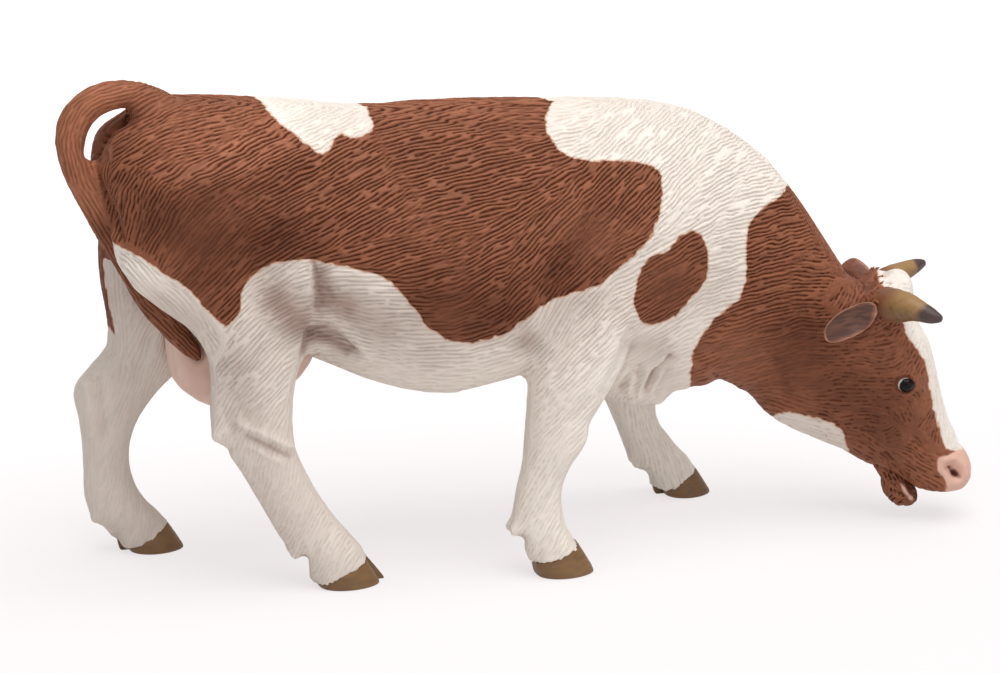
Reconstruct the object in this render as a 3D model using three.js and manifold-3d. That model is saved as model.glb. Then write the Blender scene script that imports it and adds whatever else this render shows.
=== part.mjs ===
// Grazing cow figure, one twentieth of life size, moulded in soft vinyl and painted by hand.
// Built as it is cast: two trunk halves, a head with its neck, and limbs that plug into sockets.
// Millimetres, +X towards the head, -Y the cow's right side, +Z up, soles on z = 0.

import * as THREE from "three";
import { mergeVertices } from "three/addons/utils/BufferGeometryUtils.js";
import Module from "manifold-3d";

const wasm = await Module();
wasm.setup();

// Driving dimensions.
const fitGap = 0.3; // play all round a plugged joint
const trunkSides = 30; // points round a trunk section
const headSides = 26; // points round a neck or head section
const limbSides = 16; // points round a leg, jaw or udder section

const headTurn = THREE.MathUtils.degToRad(17); // the head looks to the cow's right
const turnStart = 40; // where along the body the neck starts to turn
const turnEnd = 64; // where the neck meets the skull

const seamPinRadius = 1.6; // locating pins between the trunk halves
const seamPinLength = 4;

const neckPegRadius = 5.5;
const neckPegLength = 8;

const hindJointHeight = 31; // where the lower legs plug into the trunk
const foreJointHeight = 25;
const legPegRadius = 2.2;
const legPegLength = 5;

const foreHoofLength = 8.4; // sole, heel to toe
const hindHoofLength = 9.4;
const hoofWidth = 7.4;
const hoofToeHeight = 4.1; // top of the horn wall at the toe
const hoofHeelHeight = 2.0; // and at the heel
const toeSlope = 2.3; // how far the wall leans back at the toe
const heelSlope = 0.9; // and at the heel
const cleftDepth = 1.6; // notch between the two claws
const hoofPegRadius = 1.3;
const hoofFloor = 0.8; // horn left under the peg socket

const hornRadius = 2.75; // at the root
const hornTipRadius = 0.75;
const hornRaise = 1.0; // extra height of the left horn's tip
const earLength = 9.2;
const earWidth = 5.4;
const earThickness = 1.6;
const earCup = 1.1; // hollow of the ear's inner face
const eyeRadius = 1.5;
const eyeSink = 0.8; // how deep the bead's centre lies below the skin

const tailRootRadius = 2.8;
const tailRadius = 2.4; // over the arch
const tailThinRadius = 1.8; // where the long hair starts
const switchRadius = 2.5; // fullest part of the hair

const teatRadius = 1.15;
const teatLength = 3.4;

const paint = {
  brown: new THREE.MeshStandardMaterial({ color: 0x7a3d26, roughness: 0.72, metalness: 0 }),
  white: new THREE.MeshStandardMaterial({ color: 0xe6ded5, roughness: 0.75, metalness: 0 }),
  pink: new THREE.MeshStandardMaterial({ color: 0xd3a596, roughness: 0.6, metalness: 0 }),
  horn: new THREE.MeshStandardMaterial({ color: 0x8f7d4c, roughness: 0.5, metalness: 0 }),
  hoof: new THREE.MeshStandardMaterial({ color: 0x6d5a33, roughness: 0.45, metalness: 0 }),
  eye: new THREE.MeshStandardMaterial({ color: 0x0d0a09, roughness: 0.1, metalness: 0 }),
};

// Turns a three.js geometry into a solid that can be joined and cut.
function solid(geometry) {
  const bare = new THREE.BufferGeometry();
  bare.setAttribute("position", geometry.getAttribute("position"));
  bare.setIndex(geometry.getIndex());
  const merged = mergeVertices(bare, 1e-5);
  return new wasm.Manifold(new wasm.Mesh({
    numProp: 3,
    vertProperties: new Float32Array(merged.getAttribute("position").array),
    triVerts: new Uint32Array(merged.getIndex().array),
  }));
}

// Joins equal rings of points into a closed skin, with a fan over each end.
function loft(rings) {
  const sides = rings[0].length;
  const points = rings.flat();
  const index = [];
  for (let ring = 0; ring < rings.length - 1; ring += 1) {
    for (let side = 0; side < sides; side += 1) {
      const a = ring * sides + side;
      const b = ring * sides + (side + 1) % sides;
      index.push(a, b, b + sides, a, b + sides, a + sides);
    }
  }
  [0, rings.length - 1].forEach((ring) => {
    const centre = new THREE.Vector3();
    rings[ring].forEach((p) => centre.addScaledVector(p, 1 / sides));
    points.push(centre);
    for (let side = 0; side < sides; side += 1) {
      const a = ring * sides + side;
      const b = ring * sides + (side + 1) % sides;
      index.push(...(ring === 0 ? [points.length - 1, b, a] : [points.length - 1, a, b]));
    }
  });
  const geometry = new THREE.BufferGeometry().setFromPoints(points);
  let volume = 0;
  for (let i = 0; i < index.length; i += 3) {
    const [a, b, c] = [points[index[i]], points[index[i + 1]], points[index[i + 2]]];
    volume += a.dot(b.clone().cross(c));
  }
  geometry.setIndex(volume < 0 ? index.reverse() : index);
  return geometry;
}

// Sections between two rails. A row holds: upper rail x, z, lower rail x, z, half width, sag, centre y.
// Sag lowers the widest line of the section; grow moves the whole skin outward.
function railRings(rows, count, sides, grow = 0) {
  const upper = new THREE.CatmullRomCurve3(rows.map((r) => new THREE.Vector3(r[0], r[6] ?? 0, r[1])));
  const lower = new THREE.CatmullRomCurve3(rows.map((r) => new THREE.Vector3(r[2], r[6] ?? 0, r[3])));
  const girth = new THREE.CatmullRomCurve3(rows.map((r) => new THREE.Vector3(r[4], r[5] ?? 0, 0)));
  return Array.from({ length: count }, (_, i) => {
    const t = i / (count - 1);
    const top = upper.getPoint(t);
    const bottom = lower.getPoint(t);
    const { x: half, y: sag } = girth.getPoint(t);
    const centre = top.clone().add(bottom).multiplyScalar(0.5);
    const reach = top.clone().sub(bottom).multiplyScalar(0.5);
    reach.setLength(reach.length() + grow);
    return Array.from({ length: sides }, (_, side) => {
      const angle = (2 * Math.PI * side) / sides;
      const across = Math.sign(Math.sin(angle)) * Math.abs(Math.sin(angle)) ** 0.86;
      const along = Math.cos(angle) - sag * Math.sin(angle) ** 2;
      const point = centre.clone().addScaledVector(reach, along);
      point.y += across * (half + grow);
      return point;
    });
  });
}

// A round taper along a curve; each row is x, y, z, radius.
function taper(rows, count, sides, grow = 0) {
  const curve = new THREE.CatmullRomCurve3(rows.map((r) => new THREE.Vector3(r[0], r[1], r[2])));
  const radii = new THREE.CatmullRomCurve3(rows.map((r) => new THREE.Vector3(r[3], 0, 0)));
  const frames = curve.computeFrenetFrames(count - 1);
  return loft(Array.from({ length: count }, (_, i) => {
    const t = curve.getUtoTmapping(i / (count - 1));
    const radius = radii.getPoint(t).x + grow;
    return Array.from({ length: sides }, (_, side) => {
      const angle = (2 * Math.PI * side) / sides;
      return curve.getPoint(t)
        .addScaledVector(frames.normals[i], radius * Math.cos(angle))
        .addScaledVector(frames.binormals[i], radius * Math.sin(angle));
    });
  }));
}

// A round peg from one point to another.
function peg(from, to, radius) {
  const axis = to.clone().sub(from);
  const geometry = new THREE.CylinderGeometry(radius, radius, axis.length(), 16);
  geometry.applyQuaternion(new THREE.Quaternion().setFromUnitVectors(
    new THREE.Vector3(0, 1, 0), axis.clone().normalize()));
  geometry.translate(...from.clone().add(to).multiplyScalar(0.5).toArray());
  return solid(geometry);
}

// A box between two corners, used only as a cutter.
function block(low, high) {
  const size = high.map((value, i) => value - low[i]);
  const geometry = new THREE.BoxGeometry(...size);
  geometry.translate(...low.map((value, i) => value + size[i] / 2));
  return solid(geometry);
}

const far = 200; // reach of a cutter past the figure
const above = (z) => block([-far, -far, z], [far, far, far]);
const below = (z) => block([-far, -far, -far], [far, far, z]);

// Bends a straight-built point sideways, so that the neck carries the head round to the right.
function turned(point) {
  const radius = (turnEnd - turnStart) / headTurn;
  const angle = THREE.MathUtils.clamp((point.x - turnStart) / radius, 0, headTurn);
  const rest = point.x - turnStart - angle * radius;
  return new THREE.Vector3(
    turnStart + radius * Math.sin(angle) + rest * Math.cos(angle) + point.y * Math.sin(angle),
    radius * (Math.cos(angle) - 1) - rest * Math.sin(angle) + point.y * Math.cos(angle),
    point.z,
  );
}

const figure = new THREE.Group();

function addPiece(name, body, material, place = (point) => point) {
  const { vertProperties, triVerts } = body.getMesh();
  const points = [];
  for (let i = 0; i < vertProperties.length; i += 3) {
    points.push(place(new THREE.Vector3(...vertProperties.slice(i, i + 3))));
  }
  const geometry = new THREE.BufferGeometry().setFromPoints(points);
  geometry.setIndex(Array.from(triVerts));
  geometry.computeVertexNormals();
  const mesh = new THREE.Mesh(geometry, material);
  mesh.name = name;
  figure.add(mesh);
}

// Trunk: rails are the back and the belly line, from the buttocks to the neck joint.
const neckJoint = [44.8, 60.4, 39.6, 22.3, 11.2, 0.1];
const trunkRows = [
  [-50.3, 63.2, -49.2, 56.5, 4.2, 0],
  [-48.6, 66.6, -47.6, 52.0, 9.0, 0.05],
  [-45.0, 69.0, -44.4, 48.0, 12.4, 0.05],
  [-40.0, 70.5, -39.0, 43.5, 14.4, 0.02],
  [-33.0, 70.4, -33.0, 39.0, 15.6, 0],
  [-26.0, 69.6, -26.0, 35.0, 16.6, 0],
  [-18.5, 68.8, -18.5, 31.6, 17.8, 0.08],
  [-9.5, 67.8, -9.5, 27.4, 19.6, 0.14],
  [-1.0, 67.3, -1.0, 25.4, 20.6, 0.16],
  [7.5, 67.0, 7.5, 26.5, 20.0, 0.14],
  [17.0, 66.5, 16.5, 27.2, 17.8, 0.08],
  [25.5, 66.0, 24.0, 22.6, 15.8, 0.02],
  [32.5, 65.3, 30.2, 19.7, 14.4, 0],
  [39.6, 63.4, 35.4, 21.0, 12.6, 0.05],
  neckJoint,
];

// Legs: rails are the front and the back outline, from inside the trunk down to the pastern.
const legs = {
  right_hind: {
    joint: hindJointHeight,
    hoofLength: hindHoofLength,
    sole: [-15.7, -11.0],
    rows: [
      [-24.0, 63.0, -42.0, 64.0, 3.5, 0, -5.5],
      [-20.2, 52.0, -49.6, 54.0, 5.2, 0, -8.2],
      [-19.6, 43.0, -46.4, 46.0, 6.6, 0, -9.6],
      [-21.2, 36.8, -39.4, 40.4, 6.2, 0, -10.0],
      [-23.2, 32.6, -36.2, 35.6, 5.4, 0, -10.4],
      [-24.0, 28.4, -36.0, 29.4, 4.7, 0, -10.6],
      [-24.1, 24.8, -36.0, 25.0, 4.3, 0, -10.8],
      [-23.8, 21.4, -34.2, 21.9, 3.8, 0, -10.9],
      [-22.6, 18.2, -31.9, 18.4, 3.5, 0, -11.0],
      [-20.4, 13.9, -29.6, 14.1, 3.4, 0, -11.0],
      [-17.8, 10.0, -27.5, 10.2, 3.5, 0, -11.0],
      [-15.4, 7.1, -25.4, 6.6, 3.8, 0, -11.0],
    ],
  },
  left_hind: {
    joint: hindJointHeight,
    hoofLength: hindHoofLength,
    sole: [-39.5, 12.6],
    rows: [
      [-26.0, 63.0, -42.0, 64.0, 3.5, 0, 5.5],
      [-22.4, 51.5, -47.0, 55.0, 4.8, 0, 8.4],
      [-24.5, 42.0, -47.6, 44.5, 6.4, 0, 10.2],
      [-29.5, 34.5, -46.5, 37.2, 5.8, 0, 11.0],
      [-33.6, 29.4, -45.6, 32.2, 5.1, 0, 11.5],
      [-37.4, 25.6, -48.4, 28.6, 4.6, 0, 11.9],
      [-40.0, 22.6, -51.0, 25.2, 4.2, 0, 12.1],
      [-41.8, 19.6, -50.3, 21.6, 3.8, 0, 12.3],
      [-42.8, 16.2, -49.7, 17.0, 3.5, 0, 12.4],
      [-42.7, 12.6, -49.6, 12.6, 3.4, 0, 12.5],
      [-41.6, 9.4, -49.6, 8.8, 3.6, 0, 12.6],
      [-39.8, 6.8, -48.4, 5.6, 3.9, 0, 12.6],
    ],
  },
  right_fore: {
    joint: foreJointHeight,
    hoofLength: foreHoofLength,
    sole: [15.1, -15.3],
    rows: [
      [34.0, 58.0, 16.0, 56.0, 4.0, 0, -6.0],
      [32.0, 47.0, 12.4, 45.0, 5.6, 0, -9.8],
      [27.4, 36.6, 11.2, 37.0, 5.8, 0, -12.4],
      [23.4, 29.2, 10.2, 30.4, 5.2, 0, -13.8],
      [20.5, 25.0, 9.6, 25.4, 4.6, 0, -14.5],
      [18.6, 22.4, 9.3, 22.0, 4.3, 0, -14.9],
      [18.1, 19.6, 9.1, 19.0, 4.3, 0, -15.1],
      [16.0, 16.8, 8.7, 16.2, 3.7, 0, -15.2],
      [14.6, 13.8, 7.9, 13.4, 3.3, 0, -15.3],
      [14.5, 10.6, 7.4, 10.4, 3.2, 0, -15.3],
      [15.0, 7.6, 7.3, 6.8, 3.6, 0, -15.3],
    ],
  },
  left_fore: {
    joint: foreJointHeight,
    hoofLength: foreHoofLength,
    sole: [43.5, 14.4],
    rows: [
      [34.0, 58.0, 16.0, 56.0, 4.0, 0, 6.0],
      [32.4, 47.0, 13.0, 45.0, 5.6, 0, 9.8],
      [31.8, 37.0, 15.2, 37.4, 5.7, 0, 12.0],
      [32.8, 29.6, 19.6, 30.6, 5.1, 0, 13.0],
      [34.6, 24.2, 23.8, 24.8, 4.6, 0, 13.6],
      [36.6, 19.6, 27.8, 20.0, 4.3, 0, 14.0],
      [38.2, 15.2, 30.8, 15.8, 3.8, 0, 14.2],
      [39.2, 12.0, 32.2, 12.6, 3.3, 0, 14.3],
      [41.0, 9.4, 33.6, 9.2, 3.3, 0, 14.4],
      [42.6, 7.4, 34.8, 6.2, 3.7, 0, 14.4],
    ],
  },
};

// Ends of the sole and of the hoof's top edge, which the leg above it meets.
function hoofEnds({ sole, hoofLength }) {
  const toe = sole[0] + hoofLength / 2;
  const heel = sole[0] - hoofLength / 2;
  return { toe, heel, front: toe - toeSlope, back: heel - heelSlope };
}

// The leg's own skin, closed at the top edge of the hoof with the joint's play.
function legSolid(leg) {
  const { front, back } = hoofEnds(leg);
  const end = [
    front, hoofToeHeight + fitGap, back, hoofHeelHeight + fitGap, hoofWidth / 2, 0, leg.sole[1]];
  return solid(loft(railRings([...leg.rows, end], 25, limbSides)));
}

// Middle of a leg's section at a height, where its peg goes.
function legCentre({ rows }, z) {
  const i = rows.findIndex((row) => (row[1] + row[3]) / 2 < z);
  const [upper, lower] = [rows[i - 1], rows[i]];
  const height = (row) => (row[1] + row[3]) / 2;
  const t = (height(upper) - z) / (height(upper) - height(lower));
  const mix = (column) => THREE.MathUtils.lerp(upper[column], lower[column], t);
  return new THREE.Vector3((mix(0) + mix(2)) / 2, mix(6), z);
}

// A cloven hoof: the sole ring and the slanted top ring share one outline, notched at the toe.
function hoofSolid(leg) {
  const { toe, heel, front, back } = hoofEnds(leg);
  const ring = (rise) => Array.from({ length: 24 }, (_, i) => {
    const angle = (2 * Math.PI * i) / 24;
    const across = Math.sign(Math.sin(angle)) * Math.abs(Math.sin(angle)) ** 0.8;
    const along = (Math.cos(angle) + 1) / 2;
    const notch = cleftDepth * Math.exp(-((across / 0.25) ** 2)) * (along > 0.5 ? 1 : -0.4);
    const rear = THREE.MathUtils.lerp(heel, back, rise);
    const tip = THREE.MathUtils.lerp(toe, front, rise);
    const x = THREE.MathUtils.lerp(rear, tip, along) - notch;
    const height = THREE.MathUtils.lerp(hoofHeelHeight, hoofToeHeight, (x - rear) / (tip - rear));
    return new THREE.Vector3(x, leg.sole[1] + (across * hoofWidth) / 2, rise * height);
  });
  return solid(loft([ring(0), ring(0.5), ring(1)]));
}

// Tail: out of the rump, over an arch, down behind the buttocks, then a switch of hair between the legs.
const tailRows = [
  [-36.0, 0, 66.5, tailRootRadius * 0.8],
  [-40.5, 0, 69.6, tailRootRadius],
  [-45.6, -0.2, 71.7, tailRadius],
  [-50.2, -0.5, 70.8, tailRadius],
  [-52.9, -0.8, 67.3, tailRadius],
  [-52.5, -1.2, 62.4, tailRadius * 0.95],
  [-50.7, -1.8, 57.6, tailRadius * 0.85],
  [-48.8, -2.4, 53.2, tailThinRadius],
  [-46.4, -2.8, 48.2, tailThinRadius],
  [-43.2, -3.0, 42.6, switchRadius * 0.9],
  [-39.4, -3.2, 38.0, switchRadius],
  [-36.8, -3.3, 34.6, switchRadius * 0.6],
  [-35.4, -3.3, 32.8, switchRadius * 0.2],
];
const tailSolid = (grow) => solid(taper(tailRows, 34, 10, grow));

// Udder: rails run from back to front, buried in the belly above and rounded below.
const udderRows = [
  [-38.9, 36.0, -39.0, 33.0, 1.5, 0, 3.0],
  [-37.4, 40.5, -38.2, 28.4, 4.2, 0, 2.8],
  [-33.5, 43.0, -35.0, 25.2, 6.2, 0.1, 2.0],
  [-29.0, 42.5, -29.4, 24.2, 6.8, 0.1, 1.4],
  [-24.0, 40.5, -23.4, 25.9, 6.2, 0, 0.8],
  [-19.5, 38.0, -19.0, 29.8, 3.6, 0, 0.5],
  [-17.4, 36.5, -17.4, 33.6, 1.0, 0, 0.5],
];
const teats = [
  [-31.0, -1.8],
  [-31.0, 5.0],
  [-26.0, -2.2],
  [-26.0, 4.6],
];

function udderSolid(grow) {
  const profile = [
    [0, 0],
    [teatRadius * 0.55, 0.12],
    [teatRadius * 0.85, 0.6],
    [teatRadius, teatLength * 0.5],
    [teatRadius * 1.25, teatLength + 2],
    [0, teatLength + 2],
  ].map(([r, z]) => new THREE.Vector2(r + (r > 0 ? grow : 0), z));
  const bag = solid(loft(railRings(udderRows, 14, limbSides, grow)));
  return teats.reduce((body, [x, y]) => {
    const teat = new THREE.LatheGeometry(profile, 7);
    teat.rotateX(Math.PI / 2);
    teat.translate(x, y, udderRows[3][3] + 0.4 - teatLength);
    return body.add(solid(teat));
  }, bag);
}

// Head: rails are nape and forehead against throat and jaw, from the neck joint to the muzzle.
// It is built straight, and the finished pieces are turned together.
const headRows = [
  neckJoint,
  [50.4, 55.8, 44.2, 22.0, 9.9, 0.08],
  [55.0, 50.0, 47.8, 20.4, 8.9, 0.05],
  [59.5, 43.1, 50.7, 16.8, 8.3, 0.02],
  [63.0, 38.0, 54.2, 14.4, 8.0, 0],
  [66.6, 36.4, 58.4, 12.4, 8.0, -0.04],
  [70.2, 36.4, 62.4, 10.7, 8.2, -0.1],
  [73.2, 31.2, 65.4, 8.9, 8.3, -0.14],
  [75.2, 25.7, 67.9, 7.6, 7.3, -0.1],
  [76.5, 20.0, 70.2, 6.6, 6.1, -0.05],
  [78.1, 14.6, 72.2, 5.6, 5.3, 0],
  [80.3, 10.9, 74.2, 4.6, 5.1, 0.05],
  [81.7, 8.2, 76.8, 4.2, 4.6, 0.05],
  [81.5, 6.3, 79.0, 4.4, 3.2, 0],
  [80.9, 5.4, 80.1, 4.8, 1.2, 0],
];
const headRings = 31;

// A point of the head's skin, by row and by angle from the forehead round to the cow's left.
function skinPoint(row, angle, depth) {
  const t = row / (headRows.length - 1);
  const curve = (columns) => new THREE.CatmullRomCurve3(headRows.map(
    (r) => new THREE.Vector3(...columns.map((column) => r[column] ?? 0)))).getPoint(t);
  const top = curve([0, 6, 1]);
  const bottom = curve([2, 6, 3]);
  const { x: half, y: sag } = curve([4, 5, 6]);
  const point = top.clone().add(bottom).multiplyScalar(0.5);
  point.addScaledVector(top.sub(bottom).multiplyScalar(0.5), Math.cos(angle) - sag * Math.sin(angle) ** 2);
  point.y += Math.sign(Math.sin(angle)) * (half * Math.abs(Math.sin(angle)) ** 0.86 - depth);
  return point;
}

// Horns: out of the poll, sideways and forward. Side is 1 for left, -1 for right.
// The left one is raised a little towards its tip.
function hornSolid(side, grow) {
  const root = skinPoint(5.75, side * 0.66, 0);
  const raise = side > 0 ? hornRaise : 0;
  const rows = [
    [-1.6, -2.6, -0.4, hornRadius * 0.9],
    [0.2, 0.4, 0.2, hornRadius],
    [2.4, 3.0, 0.7 + raise * 0.4, hornRadius * 0.86],
    [4.8, 4.8, 0.6 + raise * 0.8, hornRadius * 0.62],
    [7.2, 5.8, 0.1 + raise, hornTipRadius],
  ].map(([x, y, z, r]) => [root.x + x, root.y + side * y, root.z + z, r]);
  return solid(taper(rows, 11, 12, grow));
}

// Ears: a cupped leaf on a short stalk. The right one hangs, the left one is held level.
const earPose = {
  right: { side: -1, back: 0.74, drop: 0.1 },
  left: { side: 1, back: 0.3, drop: -0.14 },
};

function earSolid({ side, back, drop }, grow) {
  const root = skinPoint(5.15, side * 0.78, 1.0);
  const along = new THREE.Vector3(-back, side * Math.sqrt(1 - back * back - drop * drop), -drop);
  const hollow = new THREE.Vector3(0.35, side * 0.85, -0.25);
  hollow.addScaledVector(along, -hollow.dot(along)).normalize();
  const across = along.clone().cross(hollow);
  const rows = [
    [0, 0.3],
    [0.16, 0.34],
    [0.36, 0.8],
    [0.58, 1],
    [0.8, 0.78],
    [0.94, 0.4],
    [1, 0.12],
  ];
  return solid(loft(rows.map(([t, w]) => Array.from({ length: 16 }, (_, i) => {
    const angle = (2 * Math.PI * i) / 16;
    const u = Math.sin(angle);
    const half = (earWidth / 2) * w + grow;
    const thick = (earThickness / 2) * Math.min(1, 0.5 + w) + grow;
    const cup = earCup * w * (u * u - 0.5);
    return root.clone()
      .addScaledVector(along, t * earLength + grow * (t > 0.5 ? 1 : -1))
      .addScaledVector(across, half * u)
      .addScaledVector(hollow, thick * Math.cos(angle) + cup);
  }))));
}

function eyeSolid(side, grow) {
  const bead = new THREE.SphereGeometry(eyeRadius + grow, 12, 8);
  bead.translate(...skinPoint(7.25, side * 1.3, eyeSink).toArray());
  return solid(bead);
}

// Lower jaw: rails are the mouth line and the chin, its rear end plugged up into the skull.
const jawRows = [
  [67.6, 11.5, 65.0, 10.2, 2.0, 0],
  [69.6, 9.8, 66.4, 8.0, 2.8, 0],
  [71.3, 7.4, 68.0, 5.8, 3.2, 0],
  [72.8, 5.5, 69.2, 3.6, 3.2, 0],
  [73.8, 4.2, 70.8, 2.1, 2.9, 0],
  [74.1, 3.2, 72.7, 1.9, 1.9, 0],
  [74.0, 2.8, 73.4, 2.2, 0.7, 0],
];
const jawSolid = (grow) => solid(loft(railRings(jawRows, 13, limbSides, grow)));

// Trunk halves: one skin with the four upper legs, split on the middle plane.
const barrel = (grow) => solid(loft(railRings(trunkRows, 30, trunkSides, grow)));
const trunk = Object.values(legs).reduce(
  (body, leg) => body.add(legSolid(leg).intersect(above(leg.joint))), barrel(0));

const neckCentre = new THREE.Vector3(
  (neckJoint[0] + neckJoint[2]) / 2, 0, (neckJoint[1] + neckJoint[3]) / 2);
const neckAxis = new THREE.Vector3(
  neckJoint[1] - neckJoint[3], 0, neckJoint[2] - neckJoint[0]).normalize();
const neckPeg = (radius, length) => peg(
  neckCentre.clone().addScaledVector(neckAxis, 2),
  neckCentre.clone().addScaledVector(neckAxis, -length),
  radius);

const legPeg = (leg, radius, length) => {
  const base = legCentre(leg, leg.joint);
  return peg(base.clone().setZ(leg.joint - 2), base.clone().setZ(leg.joint + length), radius);
};

let hollowed = trunk
  .subtract(neckPeg(neckPegRadius + fitGap, neckPegLength + fitGap))
  .subtract(tailSolid(fitGap))
  .subtract(udderSolid(fitGap));
Object.values(legs).forEach((leg) => {
  hollowed = hollowed.subtract(legPeg(leg, legPegRadius + fitGap, legPegLength + fitGap));
});

const seamPins = [
  [-29, 57],
  [-1, 50],
  [25, 44],
].map(([x, z]) => (radius, length) => peg(
  new THREE.Vector3(x, 2, z), new THREE.Vector3(x, -length, z), radius));

let rightHalf = hollowed.intersect(block([-far, -far, -far], [far, -fitGap / 2, far]));
let leftHalf = hollowed.intersect(block([-far, fitGap / 2, -far], [far, far, far]));
seamPins.forEach((pin) => {
  rightHalf = rightHalf.subtract(pin(seamPinRadius + fitGap, seamPinLength + fitGap));
  leftHalf = leftHalf.add(pin(seamPinRadius, seamPinLength));
});
addPiece("torso_right", rightHalf, paint.brown, turned);
addPiece("torso_left", leftHalf, paint.brown, turned);

// Lower legs with a peg up into the trunk and a peg down into the hoof.
Object.entries(legs).forEach(([name, leg]) => {
  const [x, y] = leg.sole;
  const ankle = new THREE.Vector3(x - toeSlope / 2, y, hoofToeHeight + 2);
  const hoofPeg = (radius, floor) => peg(ankle, ankle.clone().setZ(floor), radius);
  const shank = legSolid(leg)
    .intersect(below(leg.joint - fitGap))
    .subtract(barrel(fitGap))
    .subtract(udderSolid(fitGap))
    .add(legPeg(leg, legPegRadius, legPegLength))
    .add(hoofPeg(hoofPegRadius, hoofFloor + fitGap));
  const hoof = hoofSolid(leg).subtract(hoofPeg(hoofPegRadius + fitGap, hoofFloor));
  addPiece(`${name}_leg`, shank, paint.white);
  addPiece(`${name}_hoof`, hoof, paint.hoof);
});

addPiece("tail", tailSolid(0), paint.brown);
addPiece("udder", udderSolid(0).subtract(tailSolid(fitGap)), paint.pink);

// Head with sockets for its small pieces; its neck face keeps the joint's play to the trunk.
const neckFace = new THREE.Plane().setFromNormalAndCoplanarPoint(neckAxis, neckCentre);
const headSkin = railRings(headRows, headRings, headSides).map((ring) => ring.map((point) => {
  const lift = fitGap - neckFace.distanceToPoint(point);
  return lift > 0 ? point.addScaledVector(neckAxis, lift) : point;
}));
let head = solid(loft(headSkin)).add(neckPeg(neckPegRadius, neckPegLength));

const sides = { right: -1, left: 1 };
Object.entries(sides).forEach(([name, side]) => {
  head = head
    .subtract(hornSolid(side, fitGap))
    .subtract(earSolid(earPose[name], fitGap))
    .subtract(eyeSolid(side, fitGap));
  addPiece(`${name}_horn`, hornSolid(side, 0), paint.horn, turned);
  const ear = earSolid(earPose[name], 0).subtract(hornSolid(side, fitGap));
  addPiece(`${name}_ear`, ear, paint.brown, turned);
  addPiece(`${name}_eye`, eyeSolid(side, 0), paint.eye, turned);
});
addPiece("head_and_neck", head.subtract(jawSolid(fitGap)), paint.brown, turned);
addPiece("lower_jaw", jawSolid(0), paint.brown, turned);

// The origin is under the middle of the figure, on the ground.
const box = new THREE.Box3().setFromObject(figure);
figure.position.set(-(box.min.x + box.max.x) / 2, -(box.min.y + box.max.y) / 2, -box.min.z);

export default figure;
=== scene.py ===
import math

import bmesh
import bpy
import numpy as np
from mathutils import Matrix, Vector


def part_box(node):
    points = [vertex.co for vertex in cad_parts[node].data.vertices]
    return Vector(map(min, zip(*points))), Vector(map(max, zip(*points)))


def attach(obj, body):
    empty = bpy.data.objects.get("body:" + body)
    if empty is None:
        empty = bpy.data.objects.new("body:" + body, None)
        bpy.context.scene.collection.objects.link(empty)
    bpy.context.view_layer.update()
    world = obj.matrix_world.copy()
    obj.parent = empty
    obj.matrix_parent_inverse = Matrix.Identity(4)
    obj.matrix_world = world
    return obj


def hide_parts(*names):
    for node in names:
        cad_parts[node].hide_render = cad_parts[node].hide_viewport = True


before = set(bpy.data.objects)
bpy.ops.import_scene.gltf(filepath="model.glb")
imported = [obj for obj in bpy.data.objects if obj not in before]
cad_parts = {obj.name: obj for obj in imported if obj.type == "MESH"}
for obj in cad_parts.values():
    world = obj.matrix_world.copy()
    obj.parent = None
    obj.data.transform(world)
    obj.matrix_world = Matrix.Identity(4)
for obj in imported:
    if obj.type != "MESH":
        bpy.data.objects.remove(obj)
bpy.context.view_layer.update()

MM = 0.001

# Studio: a pale sweep of paper, a large soft lamp overhead and a camera with a long lens.
# The camera stands to the cow's right, a little behind it and above the back.
PHOTO_WIDTH = 1000
FOCAL_PIXELS = 4830
CAMERA_AZIMUTH = -17.0
CAMERA_ELEVATION = 16.5
CAMERA_DISTANCE = 700.0
CAMERA_AIM = np.array((-3.7045, -2.9, 32.5))
SENSOR_WIDTH = 36
LAMP_AIM = (0, 0, 0.03)
SKY_STRENGTH = 0.42
FLOOR_HALF = 4

azimuth, elevation = math.radians(CAMERA_AZIMUTH), math.radians(CAMERA_ELEVATION)
camera_back = np.array((math.sin(azimuth) * math.cos(elevation),
                        -math.cos(azimuth) * math.cos(elevation),
                        math.sin(elevation)))
camera_data = bpy.data.cameras.new("camera")
camera_data.sensor_width = SENSOR_WIDTH
camera_data.lens = SENSOR_WIDTH * FOCAL_PIXELS / PHOTO_WIDTH
camera_data.clip_start, camera_data.clip_end = 0.05, 20
camera = bpy.data.objects.new("camera", camera_data)
camera.location = Vector((CAMERA_AIM + camera_back * CAMERA_DISTANCE) * MM)
camera.rotation_euler = (-Vector(camera_back)).to_track_quat("-Z", "Y").to_euler()
bpy.context.scene.collection.objects.link(camera)
bpy.context.scene.camera = camera
bpy.context.scene.view_settings.view_transform = "Standard"


def soft_lamp(name, place, aim, size, watts):
    data = bpy.data.lights.new(name, "AREA")
    data.shape = "DISK"
    data.size = size
    data.energy = watts
    lamp = bpy.data.objects.new(name, data)
    lamp.location = place
    lamp.rotation_euler = (Vector(aim) - Vector(place)).to_track_quat("-Z", "Y").to_euler()
    bpy.context.scene.collection.objects.link(lamp)


soft_lamp("overhead", place=(0.10, -0.32, 1.10), aim=LAMP_AIM, size=1.2, watts=12.0)
soft_lamp("front_fill", place=(0.6, -1.2, 0.40), aim=LAMP_AIM, size=1.0, watts=1.6)

world = bpy.data.worlds.new("studio")
world.use_nodes = True
bpy.context.scene.world = world
sky = world.node_tree.nodes["Background"]
sky.inputs["Color"].default_value = (1, 1, 1, 1)
sky.inputs["Strength"].default_value = SKY_STRENGTH


def node(tree, kind, **values):
    made = tree.nodes.new(kind)
    for name, value in values.items():
        setattr(made, name, value)
    return made


def link(tree, source, target):
    tree.links.new(source, target)


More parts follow.
